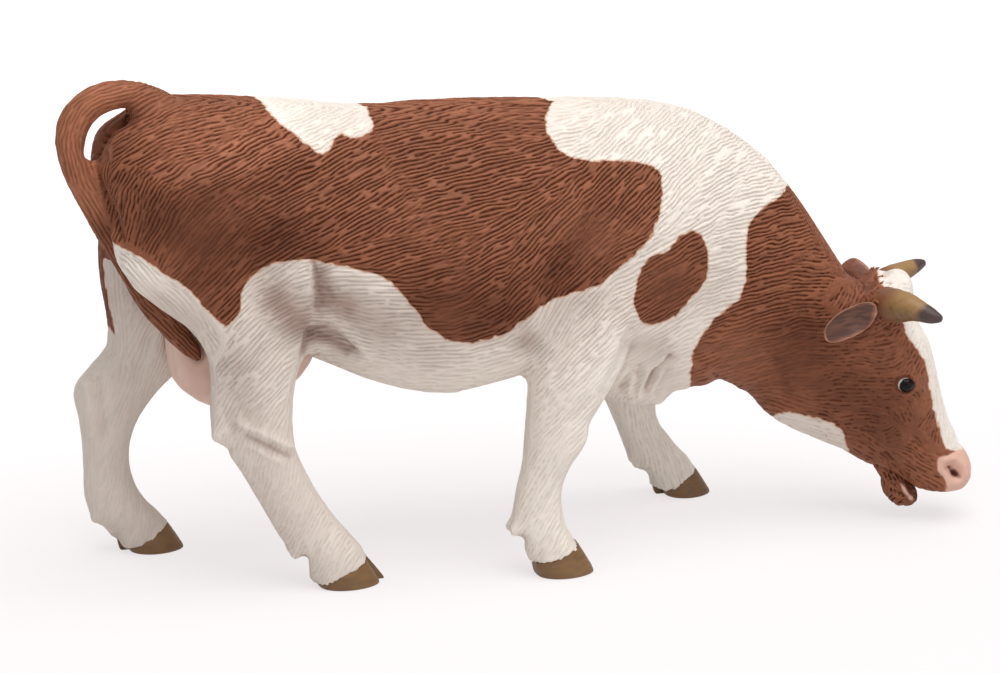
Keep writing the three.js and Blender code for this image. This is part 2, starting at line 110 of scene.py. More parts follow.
def computed(tree, operation, first, second):
    sum_node = node(tree, "ShaderNodeMath", operation=operation)
    for place, value in ((0, first), (1, second)):
        if isinstance(value, (int, float)):
            sum_node.inputs[place].default_value = value
        else:
            link(tree, value, sum_node.inputs[place])
    return sum_node.outputs[0]


def mapped(tree, value, low, high, from_value, to_value, course="LINEAR"):
    """A value carried from one span to another."""
    curve = node(tree, "ShaderNodeMapRange", interpolation_type=course)
    for name, number in (("From Min", low), ("From Max", high), ("To Min", from_value), ("To Max", to_value)):
        curve.inputs[name].default_value = number
    link(tree, value, curve.inputs["Value"])
    return curve.outputs["Result"]


def colour_mix(tree, factor, first, second):
    mix = node(tree, "ShaderNodeMix", data_type="RGBA", clamp_factor=False)
    for name, kind, value in (("Factor", "VALUE", factor), ("A", "RGBA", first), ("B", "RGBA", second)):
        socket = next(s for s in mix.inputs if s.name == name and s.type == kind)
        if isinstance(value, tuple):
            socket.default_value = value + (1,)
        else:
            link(tree, value, socket)
    return next(s for s in mix.outputs if s.type == "RGBA")


def new_paint(name):
    """A material, its tree of nodes and its shader."""
    material = bpy.data.materials.new(name)
    material.use_nodes = True
    return material, material.node_tree, material.node_tree.nodes["Principled BSDF"]


def object_place(tree):
    return node(tree, "ShaderNodeTexCoord").outputs["Object"]


# Light bounces off the paper at its full tone; to the eye it is lit evenly, so its shadows stay faint.
PAPER_BOUNCE = (0.80, 0.785, 0.78)
PAPER_SEEN = (0.27, 0.262, 0.262)
PAPER_GLOW = (1, 0.965, 0.965, 1)
GLOW_NEAR, GLOW_FAR = 0.70, 0.95
GLOW_SPAN = 0.3
paper, tree, shader = new_paint("studio_paper")
shader.inputs["Roughness"].default_value = 0.9
shader.inputs["Specular IOR Level"].default_value = 0.1
shader.inputs["Emission Color"].default_value = PAPER_GLOW
rays = node(tree, "ShaderNodeLightPath")
seen = rays.outputs["Is Camera Ray"]
for ray in ("Is Glossy Ray", "Is Transmission Ray"):
    seen = computed(tree, "MAXIMUM", seen, rays.outputs[ray])
link(tree, colour_mix(tree, seen, PAPER_BOUNCE, PAPER_SEEN), shader.inputs["Base Color"])
axes = node(tree, "ShaderNodeSeparateXYZ")
link(tree, object_place(tree), axes.inputs[0])
glow = mapped(tree, axes.outputs[1], 0.0, GLOW_SPAN, GLOW_NEAR, GLOW_FAR)
link(tree, computed(tree, "MULTIPLY", glow, seen), shader.inputs["Emission Strength"])

floor_mesh = bpy.data.meshes.new("floor")
floor_mesh.from_pydata([(-FLOOR_HALF, -FLOOR_HALF, 0), (FLOOR_HALF, -FLOOR_HALF, 0),
                        (FLOOR_HALF, FLOOR_HALF, 0), (-FLOOR_HALF, FLOOR_HALF, 0)], [], [(0, 1, 2, 3)])
floor_mesh.materials.append(paper)
floor = bpy.data.objects.new("floor", floor_mesh)
bpy.context.scene.collection.objects.link(floor)


# Cast body: trunk halves, head with neck and lower legs under one coat of paint.
# Soft vinyl, cast in pieces, plugged together; the joints are filled and painted over.
BODY_NODES = [
    "torso_right", "torso_left", "head_and_neck", "right_hind_leg", "left_hind_leg", "right_fore_leg",
    "left_fore_leg", "tail"]
TAIL_LINE = np.array([
    (-48.8, 0, 66.5), (-53.3, 0, 69.6), (-58.4, -0.2, 71.7), (-63.0, -0.5, 70.8), (-65.7, -0.8, 67.3),
    (-65.3, -1.2, 62.4), (-63.5, -1.8, 57.6), (-61.6, -2.4, 53.2), (-59.2, -2.8, 48.2), (-56.0, -3.0, 42.6),
    (-52.2, -3.2, 38.0), (-49.6, -3.3, 34.6), (-48.2, -3.3, 32.8)])
TAIL_RADII = [2.3, 2.8, 2.4, 2.4, 2.4, 2.3, 2.1, 1.8, 1.8, 2.2, 2.5, 1.6, 0.6]
TAIL_THINNED = [(38.0, 0.0), (42.0, 0.5), (55.0, 0.45), (58.0, 0.0)]
JOINT_FILL = 0.35
FILL_UNDONE = 0.9 * JOINT_FILL
TAIL_HOLLOW = [(128, 116), (114, 124), (104, 135), (97, 147), (93, 158)]
TAIL_HOLLOW_WIDTH = 10
TAIL_HOLLOW_DEPTH = 1.2
CAST_GRAIN = 0.5
CAST_SMOOTHING = 8
LEG_ROOT_SMOOTHING = 70
SHOULDER_REAR, SHOULDER_FRONT = (-6, -2), (24, 28)
HAUNCH_FRONT = (-30, -24)
LEG_ROOT_INSIDE = (5, 7)
LEG_ROOT_FOOT, LEG_ROOT_TOP = (30, 36), (56, 60)
THIGH_EDGE_KEPT = (12, 45)
TAIL_KEPT = (3, 5)
WELD = 2e-6
EYE_SINK = 0.1
NECK_BEND_START = 27.1955
NECK_BEND_END = 51.1955
HEAD_TURN = math.radians(17)
THIGH_REAR_EDGE = [(110, 254), (120, 271), (139, 292), (164, 315), (189, 326), (201, 338), (208, 349)]
NECK_BEND_RADIUS = (NECK_BEND_END - NECK_BEND_START) / HEAD_TURN


def merged_copy(growth, extras=()):
    """One mesh of several nodes' copies, each grown by its own amount in mm, and of the extra meshes."""
    joined = bmesh.new()
    for extra in extras:
        joined.from_mesh(extra)
        bpy.data.meshes.remove(extra)
    for name, grow in growth.items():
        part = bmesh.new()
        part.from_mesh(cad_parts[name].data)
        bmesh.ops.remove_doubles(part, verts=part.verts, dist=WELD)
        part.normal_update()
        points = np.array([v.co for v in part.verts]) / MM
        hollow = TAIL_HOLLOW_DEPTH * stroke(picture(points), TAIL_HOLLOW, TAIL_HOLLOW_WIDTH)
        for v, sink in zip(part.verts, hollow * name.startswith("torso")):
            v.co += v.normal * (grow - sink) * MM
        copy = bpy.data.meshes.new("part")
        part.to_mesh(copy)
        part.free()
        joined.from_mesh(copy)
        bpy.data.meshes.remove(copy)
    mesh = bpy.data.meshes.new("joined")
    joined.to_mesh(mesh)
    joined.free()
    return mesh


def evaluated(mesh, set_up):
    holder = bpy.data.objects.new("holder", mesh)
    bpy.context.scene.collection.objects.link(holder)
    set_up(holder)
    graph = bpy.context.evaluated_depsgraph_get()
    result = bpy.data.meshes.new_from_object(holder.evaluated_get(graph))
    bpy.data.objects.remove(holder)
    bpy.data.meshes.remove(mesh)
    return result


def voxel_skin(mesh, grain):
    def set_up(holder):
        remesh = holder.modifiers.new("remesh", "REMESH")
        remesh.mode = "VOXEL"
        remesh.voxel_size = grain * MM
    return evaluated(mesh, set_up)


def rounded(mesh):
    def set_up(holder):
        subdivide = holder.modifiers.new("subdivide", "SUBSURF")
        subdivide.levels = subdivide.render_levels = 1
    return evaluated(mesh, set_up)


def points_of(mesh):
    co = np.empty(len(mesh.vertices) * 3, np.float32)
    mesh.vertices.foreach_get("co", co)
    return co.reshape(-1, 3).astype(float) / MM


def set_points(mesh, co):
    mesh.vertices.foreach_set("co", (co * MM).astype(np.float32).ravel())
    mesh.update()


def normals_of(mesh):
    normals = np.empty(len(mesh.vertices) * 3, np.float32)
    mesh.vertex_normals.foreach_get("vector", normals)
    return normals.reshape(-1, 3).astype(float)


def edges_of(mesh):
    edges = np.empty(len(mesh.edges) * 2, np.int32)
    mesh.edges.foreach_get("vertices", edges)
    return edges.reshape(-1, 2)


def neighbour_mean(values, edges, counts):
    total = np.empty_like(values)
    a, b = edges[:, 0], edges[:, 1]
    for axis in range(values.shape[1]):
        column = values[:, axis]
        total[:, axis] = (np.bincount(a, column[b], len(values))
                          + np.bincount(b, column[a], len(values)))
    return total / counts[:, None]


def smoothed(values, edges, rounds, weight):
    counts = np.bincount(edges.ravel(), minlength=len(values)).astype(float)
    share = np.broadcast_to(np.asarray(weight, float).reshape(-1, 1), (len(values), 1)) * 0.5
    for _ in range(rounds):
        values = values + (neighbour_mean(values, edges, counts) - values) * share
    return values


def ramp(value, low, high):
    t = np.clip((value - low) / (high - low), 0, 1)
    return t * t * (3 - 2 * t)


camera_right = np.array((math.cos(azimuth), math.sin(azimuth), 0.0))
camera_up = np.cross(camera_back, camera_right)
camera_place = CAMERA_AIM + camera_back * CAMERA_DISTANCE
PHOTO_CENTRE = np.array((500.0, 336.5))


def picture(points):
    rel = points - camera_place
    depth = -(rel @ camera_back)
    return PHOTO_CENTRE + FOCAL_PIXELS * np.stack(
        [(rel @ camera_right) / depth, -(rel @ camera_up) / depth], -1)


def straightened(points):
    """Body coordinates along the spine, to the cow's left and up, with the neck's turn undone."""
    x, y = points[:, 0] - NECK_BEND_START, points[:, 1] + NECK_BEND_RADIUS
    angle = np.clip(np.arctan2(x, y), 0, HEAD_TURN)
    along = x * np.cos(angle) - y * np.sin(angle)
    across = x * np.sin(angle) + y * np.cos(angle) - NECK_BEND_RADIUS
    return np.stack([NECK_BEND_START + angle * NECK_BEND_RADIUS + along, across, points[:, 2]], -1)


def turned(points):
    bend = np.clip((points[:, 0] - NECK_BEND_START) / NECK_BEND_RADIUS, 0, HEAD_TURN)
    along = points[:, 0] - NECK_BEND_START - bend * NECK_BEND_RADIUS
    across = points[:, 1] + NECK_BEND_RADIUS
    return np.stack([NECK_BEND_START + along * np.cos(bend) + across * np.sin(bend),
                     across * np.cos(bend) - along * np.sin(bend) - NECK_BEND_RADIUS,
                     points[:, 2]], -1)


def right_twin(points):
    """The same spot on the cow's right side."""
    straight = straightened(points)
    straight[:, 1] = -np.abs(straight[:, 1])
    return turned(straight)


def line_distance(spots, line):
    line = np.asarray(line, float)
    if len(line) == 1:
        return np.linalg.norm(spots - line[0], axis=1)
    best = np.full(len(spots), 1e9)
    for a, b in zip(line[:-1], line[1:]):
        t = np.clip(((spots - a) @ (b - a)) / ((b - a) @ (b - a)), 0, 1)
        best = np.minimum(best, np.linalg.norm(spots - a - t[:, None] * (b - a), axis=1))
    return best


def stroke(spots, line, width):
    """How strongly a soft stroke along the line touches each spot."""
    return np.exp(-(line_distance(spots, line) / width) ** 2)


def line_station(points, line):
    """Length along the line at the nearest spot, and the distance to it."""
    best, station, run = np.full(len(points), 1e9), np.zeros(len(points)), 0.0
    for a, b in zip(line[:-1], line[1:]):
        t = np.clip(((points - a) @ (b - a)) / ((b - a) @ (b - a)), 0, 1)
        gap = np.linalg.norm(points - a - t[:, None] * (b - a), axis=1)
        length = np.linalg.norm(b - a)
        station = np.where(gap < best, run + t * length, station)
        best = np.minimum(best, gap)
        run += length
    return station, best


def patch_depth(spots, outline):
    """How far each spot lies inside a closed outline with its corners cut; negative outside."""
    outline = np.asarray(outline, float)
    after = np.roll(outline, -1, 0)
    outline = np.stack([0.8 * outline + 0.2 * after, 0.2 * outline + 0.8 * after], 1).reshape(-1, 2)
    inside = np.zeros(len(spots), bool)
    x, y = spots[:, 0], spots[:, 1]
    for (ax, ay), (bx, by) in zip(outline, np.roll(outline, -1, 0)):
        if ay != by:
            inside ^= ((ay > y) != (by > y)) & (x < (bx - ax) * (y - ay) / (by - ay) + ax)
    edge = line_distance(spots, np.vstack([outline, outline[:1]]))
    return np.where(inside, edge, -edge)


def ringed(rings):
    """A closed skin through rings of points, with a middle point closing each end."""
    rings = np.asarray(rings)
    count, around = rings.shape[:2]
    points = np.vstack([rings.reshape(-1, 3), rings[0].mean(0), rings[-1].mean(0)])
    faces = [(i * around + j, i * around + (j + 1) % around,
              (i + 1) * around + (j + 1) % around, (i + 1) * around + j)
             for i in range(count - 1) for j in range(around)]
    last = (count - 1) * around
    faces += [(count * around, (j + 1) % around, j) for j in range(around)]
    faces += [(count * around + 1, last + j, last + (j + 1) % around) for j in range(around)]
    mesh = bpy.data.meshes.new("ringed")
    mesh.from_pydata((points * MM).tolist(), [], faces)
    return mesh


def head_rings(rings):
    """A closed skin through rings that are placed along the straightened spine."""
    return ringed(turned(rings.reshape(-1, 3)).reshape(rings.shape))


def full_turn(count):
    return np.linspace(0, 2 * math.pi, count, endpoint=False)


def mound(middle, radii, sides=24, steps=16):
    """An egg-shaped swelling, placed along the straightened spine."""
    turn = full_turn(sides)
    rings = [np.stack([math.sin(polar) * np.cos(turn), math.sin(polar) * np.sin(turn),
                       np.full(sides, math.cos(polar))], -1) * radii + middle
             for polar in np.linspace(math.pi - 0.05, 0.05, steps)]
    return head_rings(np.array(rings))


POLL_MOUNDS = [
    ((57.5, 0.4, 34.9), (2.9, 4.4, 3.7)), ((54.7, -2.6, 35.1), (1.9, 2.7, 3.2)),
    ((54.7, 3.0, 35.0), (1.9, 2.6, 3.0)), ((54.8, -5.7, 34.0), (3.2, 3.3, 3.6)),
    ((54.8, 5.6, 33.8), (3.1, 3.0, 3.3))]
DEWCLAW_MOUNDS = [
    ((-5.6, -16.6, 7.3), (1.35, 1.3, 1.4)), ((-5.6, -14.0, 7.3), (1.2, 1.2, 1.3)),
    ((-37.4, -12.4, 5.9), (1.15, 1.3, 1.5)), ((-37.4, -9.9, 5.9), (1.0, 1.2, 1.3)),
    ((-61.2, 11.3, 5.9), (1.2, 1.2, 1.4)), ((-60.0, 13.8, 5.6), (1.3, 1.2, 1.5)),
    ((22.7, 13.2, 5.9), (1.2, 1.2, 1.5)), ((22.7, 15.6, 5.9), (1.1, 1.1, 1.3))]
growth = {name: JOINT_FILL for name in BODY_NODES}
growth.update(right_eye=-EYE_SINK, left_eye=-EYE_SINK)
mounds = [mound(np.array(middle), np.array(radii)) for middle, radii in POLL_MOUNDS + DEWCLAW_MOUNDS]
body = voxel_skin(merged_copy(growth, mounds), CAST_GRAIN)
co = points_of(body)
edges = edges_of(body)
spine = straightened(co)
shoulder = ramp(spine[:, 0], *SHOULDER_REAR) * (1 - ramp(spine[:, 0], *SHOULDER_FRONT))
haunch = 1 - ramp(spine[:, 0], *HAUNCH_FRONT)
thigh_edge = line_distance(picture(right_twin(co)), THIGH_REAR_EDGE)
leg_roots = ramp(co[:, 2], *LEG_ROOT_FOOT) * (1 - ramp(co[:, 2], *LEG_ROOT_TOP))
leg_roots = leg_roots * ramp(np.abs(spine[:, 1]), *LEG_ROOT_INSIDE) * np.maximum(shoulder, haunch)
leg_roots = leg_roots * np.where(spine[:, 1] < 0, ramp(thigh_edge, *THIGH_EDGE_KEPT), 1)
leg_roots = leg_roots * ramp(line_distance(co, TAIL_LINE), *TAIL_KEPT)
co = smoothed(co, edges, CAST_SMOOTHING, 1.0)
co = smoothed(co, edges, LEG_ROOT_SMOOTHING, leg_roots)
set_points(body, co)
station, gap = line_station(co, TAIL_LINE)
steps = np.r_[0, np.cumsum(np.linalg.norm(np.diff(TAIL_LINE, axis=0), axis=1))]
thinned = np.interp(station, *zip(*TAIL_THINNED)) * (gap < np.interp(station, steps, TAIL_RADII) + 1.0)
co = co - normals_of(body) * (FILL_UNDONE + thinned)[:, None]
set_points(body, co)


# Folds of the skin: creases and swellings of rump, stifle, shoulder, brisket, throat and legs.
# They are carved in the master of the mould, so they come out of it with the body.
HEAD_FROM = 45
FAR_LEG_TOP = 36


def moulded(mesh, forms, all_round=False):
    """Raises or sinks the skin along lines of picture points; widths in picture points, heights in mm."""
    co, normal = points_of(mesh), normals_of(mesh)
    spine = straightened(co)
    is_left = spine[:, 1] > 0
    low_left = is_left & (co[:, 2] < FAR_LEG_TOP) & (spine[:, 0] < HEAD_FROM)
    pic = np.where(low_left[:, None], picture(co), picture(right_twin(co)))
    seen = normal.copy()
    seen[is_left & ~low_left, 1] *= -1
    facing = 1.0 if all_round else ramp(seen @ camera_back, 0.0, 0.45)
    far_share = ramp(co[:, 2], FAR_LEG_TOP, FAR_LEG_TOP + 6) * (1.0 if all_round else 0.6)
    facing = facing * np.where(is_left & ~low_left & (spine[:, 0] < HEAD_FROM), far_share, 1.0)
    swell = np.zeros(len(co))
    for line, width, height in forms:
        line = np.asarray(line, float)
        reach = 3 * width
        near = ((pic > line.min(0) - reach) & (pic < line.max(0) + reach)).all(1)
        swell[near] += height * stroke(pic[near], line, width)
    set_points(mesh, co + normal * (swell * facing)[:, None])


def circle(middle, radius):
    turn = np.linspace(0, 2 * math.pi, 13)
    return np.asarray(middle) + radius * np.stack([np.cos(turn), np.sin(turn)], -1)


RUMP_FORMS = [
    ([(160, 190), (235, 176), (300, 154)], 13, 0.8), ([(205, 212), (270, 196), (305, 184)], 16, -1.0),
    ([(318, 225), (315, 264), (316, 296)], 13, -0.7), ([(322, 180), (334, 215)], 24, -0.5),
    ([(314, 262), (317, 285), (318, 310)], 4, -0.6), ([(305, 270), (308, 300)], 7, 0.4),
    ([(94, 170), (102, 193), (116, 221), (120, 240)], 4, -0.8)]
STIFLE_FORMS = [
    ([(285, 285), (290, 315)], 18, 0.6),
    ([(310, 320), (324, 315), (340, 324), (355, 340), (368, 351)], 6, 0.7),
    ([(314, 334), (324, 333), (338, 341), (352, 352)], 6, -1.2),
    ([(310, 331), (307, 342), (305, 354)], 4.5, -0.8), ([(301, 332), (297, 348)], 5, 0.35)]
SHOULDER_FORMS = [
    ([(592, 180), (600, 216), (589, 237), (568, 256), (545, 288)], 14, -0.9),
    ([(632, 176), (645, 215), (625, 250)], 18, 0.7), ([(578, 200), (560, 235)], 14, 0.3),
    ([(528, 345)], 12, -1.0), ([(634, 330), (625, 347), (613, 370), (604, 393)], 6, -0.7),
    ([(619, 313), (613, 338), (589, 389)], 6, -0.35), ([(604, 320), (597, 350)], 10, 0.4),
    ([(632, 347), (625, 358), (613, 382)], 4, -0.45), ([(622, 348), (616, 362), (607, 384)], 6, 0.35)]
BRISKET_FORMS = [
    ([(673, 359), (655, 373), (646, 391)], 5, -1.0), ([(640, 367), (636, 391)], 3.5, -0.6),
    ([(633, 374), (620, 389)], 5, -0.8), ([(669, 373), (655, 395)], 4.5, -0.7),
    ([(664, 360), (648, 373), (639, 395)], 3, 0.6), ([(664, 372), (651, 394)], 3, 0.5),
    ([(636, 372), (628, 392)], 3, 0.3), ([(634, 402)], 8, 0.4)]
THROAT_FORMS = [
    ([(776, 362), (783, 397)], 9, -0.6), ([(830, 380)], 35, 0.5), ([(700, 386)], 7, 0.3),
    ([(724, 381)], 7, 0.3)]
LEG_FORMS = [
    ([(240, 424), (262, 434), (290, 447)], 4, 0.75), ([(246, 436), (268, 446), (290, 457)], 5, -0.45),
    ([(250, 446), (268, 456), (284, 462)], 4, 0.3), ([(228, 420), (232, 440)], 6, -0.5),
    ([(217, 436)], 9, 0.4), ([(588, 436)], 9, 0.4), ([(578, 420), (590, 400)], 6, -0.4),
    ([(98, 378), (103, 400), (105, 430)], 5, -0.5), ([(86, 384), (90, 410), (92, 435)], 5, 0.4),
    ([(150, 340), (135, 372)], 8, -0.4)]
TAIL_GAP_FORMS = [([(126, 114), (112, 121), (102, 131), (95, 143), (90, 154)], 7, -0.8)]
FETLOCK_FORMS = [
    ([(350, 103), (395, 105)], 26, -0.5), ([(215, 438)], 7, 0.5), ([(227, 450)], 5, -0.4),
    ([(304, 561)], 5, -1.0), ([(521, 541)], 6, -1.0), ([(116, 538)], 6, -0.8), ([(645, 476)], 6, -0.6),
    ([(703, 387)], 8, 0.5), ([(719, 380)], 6, -0.5), ([(742, 384)], 8, 0.4), ([(658, 401)], 8, 0.6),
    ([(674, 389)], 6, -0.5)]
FOREHEAD_FORMS = [
    ([(927, 345), (934, 375), (940, 405), (948, 432)], 13, 0.55),
    ([(966, 452), (970, 470), (964, 487)], 8, 0.35), ([(852, 273), (864, 283)], 7, -0.8)]
moulded(body, RUMP_FORMS + STIFLE_FORMS + SHOULDER_FORMS + BRISKET_FORMS + THROAT_FORMS + LEG_FORMS)
moulded(body, TAIL_GAP_FORMS + FETLOCK_FORMS + FOREHEAD_FORMS, all_round=True)
body = rounded(body)

# Face: lids and brow round the eye, the nostril and the lips.
# They are finer than the folds and are carved in the same master.
EYE = (904.4, 384.3)
FACE_FORMS = [
    (circle(EYE, 10.5), 2.8, 0.5), ([(889, 380), (896, 371), (906, 368), (915, 374), (921, 388)], 5, 0.35),
    ([(892, 399), (901, 405), (911, 404)], 5, -0.35), ([(878, 412), (893, 430), (905, 447)], 7, 0.25),
    ([(911, 418), (922, 445)], 5, -0.25), ([(952, 468), (956, 474)], 6, -1.1), ([(958, 475)], 4, -0.5),
    ([(946, 460), (955, 459), (964, 466), (967, 476)], 3.5, 0.35),
    ([(918, 484), (932, 487), (945, 488)], 4, 0.3), ([(915, 470), (930, 474), (940, 478)], 4, -0.25),
    ([(884, 455), (896, 467), (906, 478)], 3, -0.5),
    ([(958, 449), (950, 454), (939, 458), (936, 464)], 2.5, -0.25)]
moulded(body, FACE_FORMS)

# Lower rim of each leg: the hair hangs over the hoof, lowest at the heel, with a finely toothed edge.
# It is cast with the leg.
LEGS = ("right_hind", "left_hind", "right_fore", "left_fore")
RIM_HEEL = 2.0
RIM_TOE = 3.4
TOE_LEAN = 2.2
HEEL_HANG = {
    "right_hind": (1.2, 0.0), "left_hind": (1.3, 0.35), "right_fore": (-0.1, 0.0), "left_fore": (1.1, 0.4)}
FRINGE_TEETH = 23
TOOTH_MEAN, TOOTH_DEPTH = 0.7, 0.3
RIM_MARGIN = 2
RIM_REACH = 2.8
RIM_TOP = 9
HANG_FADE, FLARE_FADE = (0.2, 2.5), (0.2, 1.8)
FLARE, TOE_FLARE = 0.35, 0.45
RIGHT_FORE_LIFT = 0.35
FLOOR_GAP, SOFT_FLOOR = 0.25, 0.35


def box_of(name):
    """Low and high corner of a CAD node, in mm."""
    return [np.array(corner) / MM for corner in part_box(name)]


co = points_of(body)
for turn, name in enumerate(LEGS):
    low, high = box_of(name + "_hoof")
    rim_back, rim_front, middle = low[0], high[0] - TOE_LEAN, (low[1] + high[1]) / 2
    rise = co[:, 2] - RIM_HEEL - (RIM_TOE - RIM_HEEL) * (co[:, 0] - rim_back) / (rim_front - rim_back)
    here = ((co[:, :2] > low[:2] - RIM_MARGIN) & (co[:, :2] < high[:2] + RIM_MARGIN)).all(1)
    here = here & (rise < RIM_REACH) & (co[:, 2] < RIM_TOP)
    out = co[here, :2] - np.array(((rim_back + rim_front) / 2, middle))
    around = np.arctan2(out[:, 1] / (high[1] - low[1]), out[:, 0] / (rim_front - rim_back))
    tooth = np.abs(np.cos(around * FRINGE_TEETH / 2 + 2.0 * np.sin(around * 3 + turn)))
    tooth = TOOTH_MEAN + TOOTH_DEPTH * tooth ** 2 * (0.6 + 0.4 * np.sin(around * 5 + 2 * turn))
    amount, place = HEEL_HANG[name]
    heel = 1 - ramp(np.abs((co[here, 0] - rim_back) / (rim_front - rim_back) - place), 0.0, 1 - place)
    hang = tooth - RIGHT_FORE_LIFT * (name == "right_fore") + amount * heel
    hang = (1 - ramp(rise[here], *HANG_FADE)) * hang
    flare = (FLARE + TOE_FLARE * np.clip(np.cos(around), 0, 1)) * (1 - ramp(rise[here], *FLARE_FADE))
    flare = flare / np.linalg.norm(out, axis=1)
    co[here, :2] += out * flare[:, None]
    drop = co[here, 2] - hang
    above = drop - FLOOR_GAP - SOFT_FLOOR
    co[here, 2] = np.where(above < 0, FLOOR_GAP + SOFT_FLOOR * np.exp(above / SOFT_FLOOR), drop)
set_points(body, co)


# Coat: hair carved all over the cast body, with patches of brown sprayed over white.
# The patches and the lie of the hair are worked out at each point of the skin.
co = points_of(body)
edges = edges_of(body)
normal = normals_of(body)
spine = straightened(co)
is_left = spine[:, 1] > 0
pic = picture(right_twin(co))
outward = np.where(is_left, normal[:, 1], -normal[:, 1])
twin_normal = np.where(is_left[:, None], normal * (1, -1, 1), normal)

# Painted patches, traced in picture points: brown over white, and each side has its own.
PATCH_RIGHT = [
    (227, 328), (240, 312), (242, 290), (251, 276), (270, 264), (299, 259), (314, 261), (345, 266),
    (380, 275), (400, 290), (415, 310), (430, 330), (450, 342), (470, 344), (500, 337), (530, 318),
    (545, 303), (600, 285), (615, 272), (635, 255), (650, 240), (660, 215), (663, 190), (662, 172),
    (650, 165), (630, 160), (590, 161), (565, 155), (548, 135), (545, 120), (551, 103), (556, 98),
    (560, 60), (40, 60), (40, 236), (100, 236), (119, 246), (141, 257), (159, 271), (178, 282), (192, 292),
    (205, 308), (224, 327)]
SADDLE_RIGHT = [
    (258, 95), (275, 120), (300, 138), (320, 155), (328, 152), (335, 138), (340, 133), (352, 137),
    (362, 137), (374, 128), (370, 115), (365, 104), (363, 60), (252, 60)]
SPOT_RIGHT = [
    (690, 230), (703, 236), (709, 255), (708, 275), (700, 290), (690, 300), (675, 318), (655, 326),
    (642, 322), (634, 305), (636, 285), (643, 265), (652, 257), (668, 252), (678, 238)]
PATCH_LEFT = [
    (222, 312), (240, 290), (262, 262), (290, 250), (318, 236), (345, 240), (370, 262), (400, 290),
    (440, 300), (480, 290), (520, 275), (545, 250), (575, 225), (580, 190), (572, 160), (563, 130),
    (559, 114), (551, 103), (556, 98), (560, 60), (40, 60), (40, 290), (100, 325), (128, 352), (146, 374),
    (156, 368), (160, 338), (159, 322), (160, 302), (180, 290), (205, 300)]
SADDLE_LEFT = [
    (258, 95), (266, 108), (277, 122), (288, 140), (300, 150), (322, 150), (340, 160), (366, 150),
    (382, 128), (374, 114), (365, 104), (363, 60), (252, 60)]
SPOT_LEFT = [
    (638, 214), (655, 215), (669, 222), (677, 235), (675, 252), (662, 270), (649, 279), (635, 280),
    (623, 271), (614, 256), (614, 238), (624, 222)]
HEAD_PATCH = [
    (786, 193), (760, 210), (750, 225), (746, 245), (747, 268), (744, 289), (739, 300), (724, 311),
    (713, 322), (698, 341), (691, 365), (690, 385), (690, 430), (1000, 560), (1000, 150), (795, 150)]
BLAZE = [
    (879, 284), (890, 288), (904, 323), (907, 336), (918, 349), (927, 366), (929, 384), (933, 406),
    (939, 427), (942, 442), (946, 451), (1000, 451), (1000, 255), (880, 262)]
JAW_PATCH = [
    (774, 414), (796, 412), (811, 418), (830, 422), (841, 429), (846, 440), (848, 451), (857, 458),
    (845, 490), (750, 430)]
MUZZLE = [
    (958, 449), (950, 454), (939, 458), (936, 464), (940, 473), (945, 482), (946, 491), (946, 530),
    (1000, 530), (1000, 440)]
PIXELS_PER_MM = 6.9
INNER_LEG_TURN, INNER_LEG_SHARPNESS = 0.35, 40
WHITE_LEG_TOP, WHITE_LEG_FRONT = 46, 10
HEAD_PAINT_FROM = 22
BARE_FROM = 50
FAR_INSIDE = 20.0

right_brown = np.maximum(np.minimum(patch_depth(pic, PATCH_RIGHT), -patch_depth(pic, SADDLE_RIGHT)),
                         patch_depth(pic, SPOT_RIGHT))
left_brown = np.maximum(np.minimum(patch_depth(pic, PATCH_LEFT), -patch_depth(pic, SADDLE_LEFT)),
                        patch_depth(pic, SPOT_LEFT))
trunk_brown = np.where(is_left, left_brown, right_brown)
inner_leg = (outward + INNER_LEG_TURN) * INNER_LEG_SHARPNESS
at_legs = (co[:, 2] < WHITE_LEG_TOP) & (spine[:, 0] < WHITE_LEG_FRONT)
trunk_brown = np.where(at_legs, np.minimum(trunk_brown, inner_leg), trunk_brown)
head_brown = np.minimum(patch_depth(pic, HEAD_PATCH), -patch_depth(pic, JAW_PATCH))
head_brown = np.minimum(head_brown, -patch_depth(pic, BLAZE))
left_throat = (spine[:, 1] > 5) & (co[:, 2] < 24.5) & (spine[:, 0] < 29)
on_head = (spine[:, 0] > HEAD_PAINT_FROM) & ~left_throat
brown = np.maximum(trunk_brown, np.where(on_head, head_brown, -1e3)) / PIXELS_PER_MM
bare = patch_depth(pic, MUZZLE) / PIXELS_PER_MM
bare = np.where(spine[:, 0] > BARE_FROM, bare, -FAR_INSIDE)

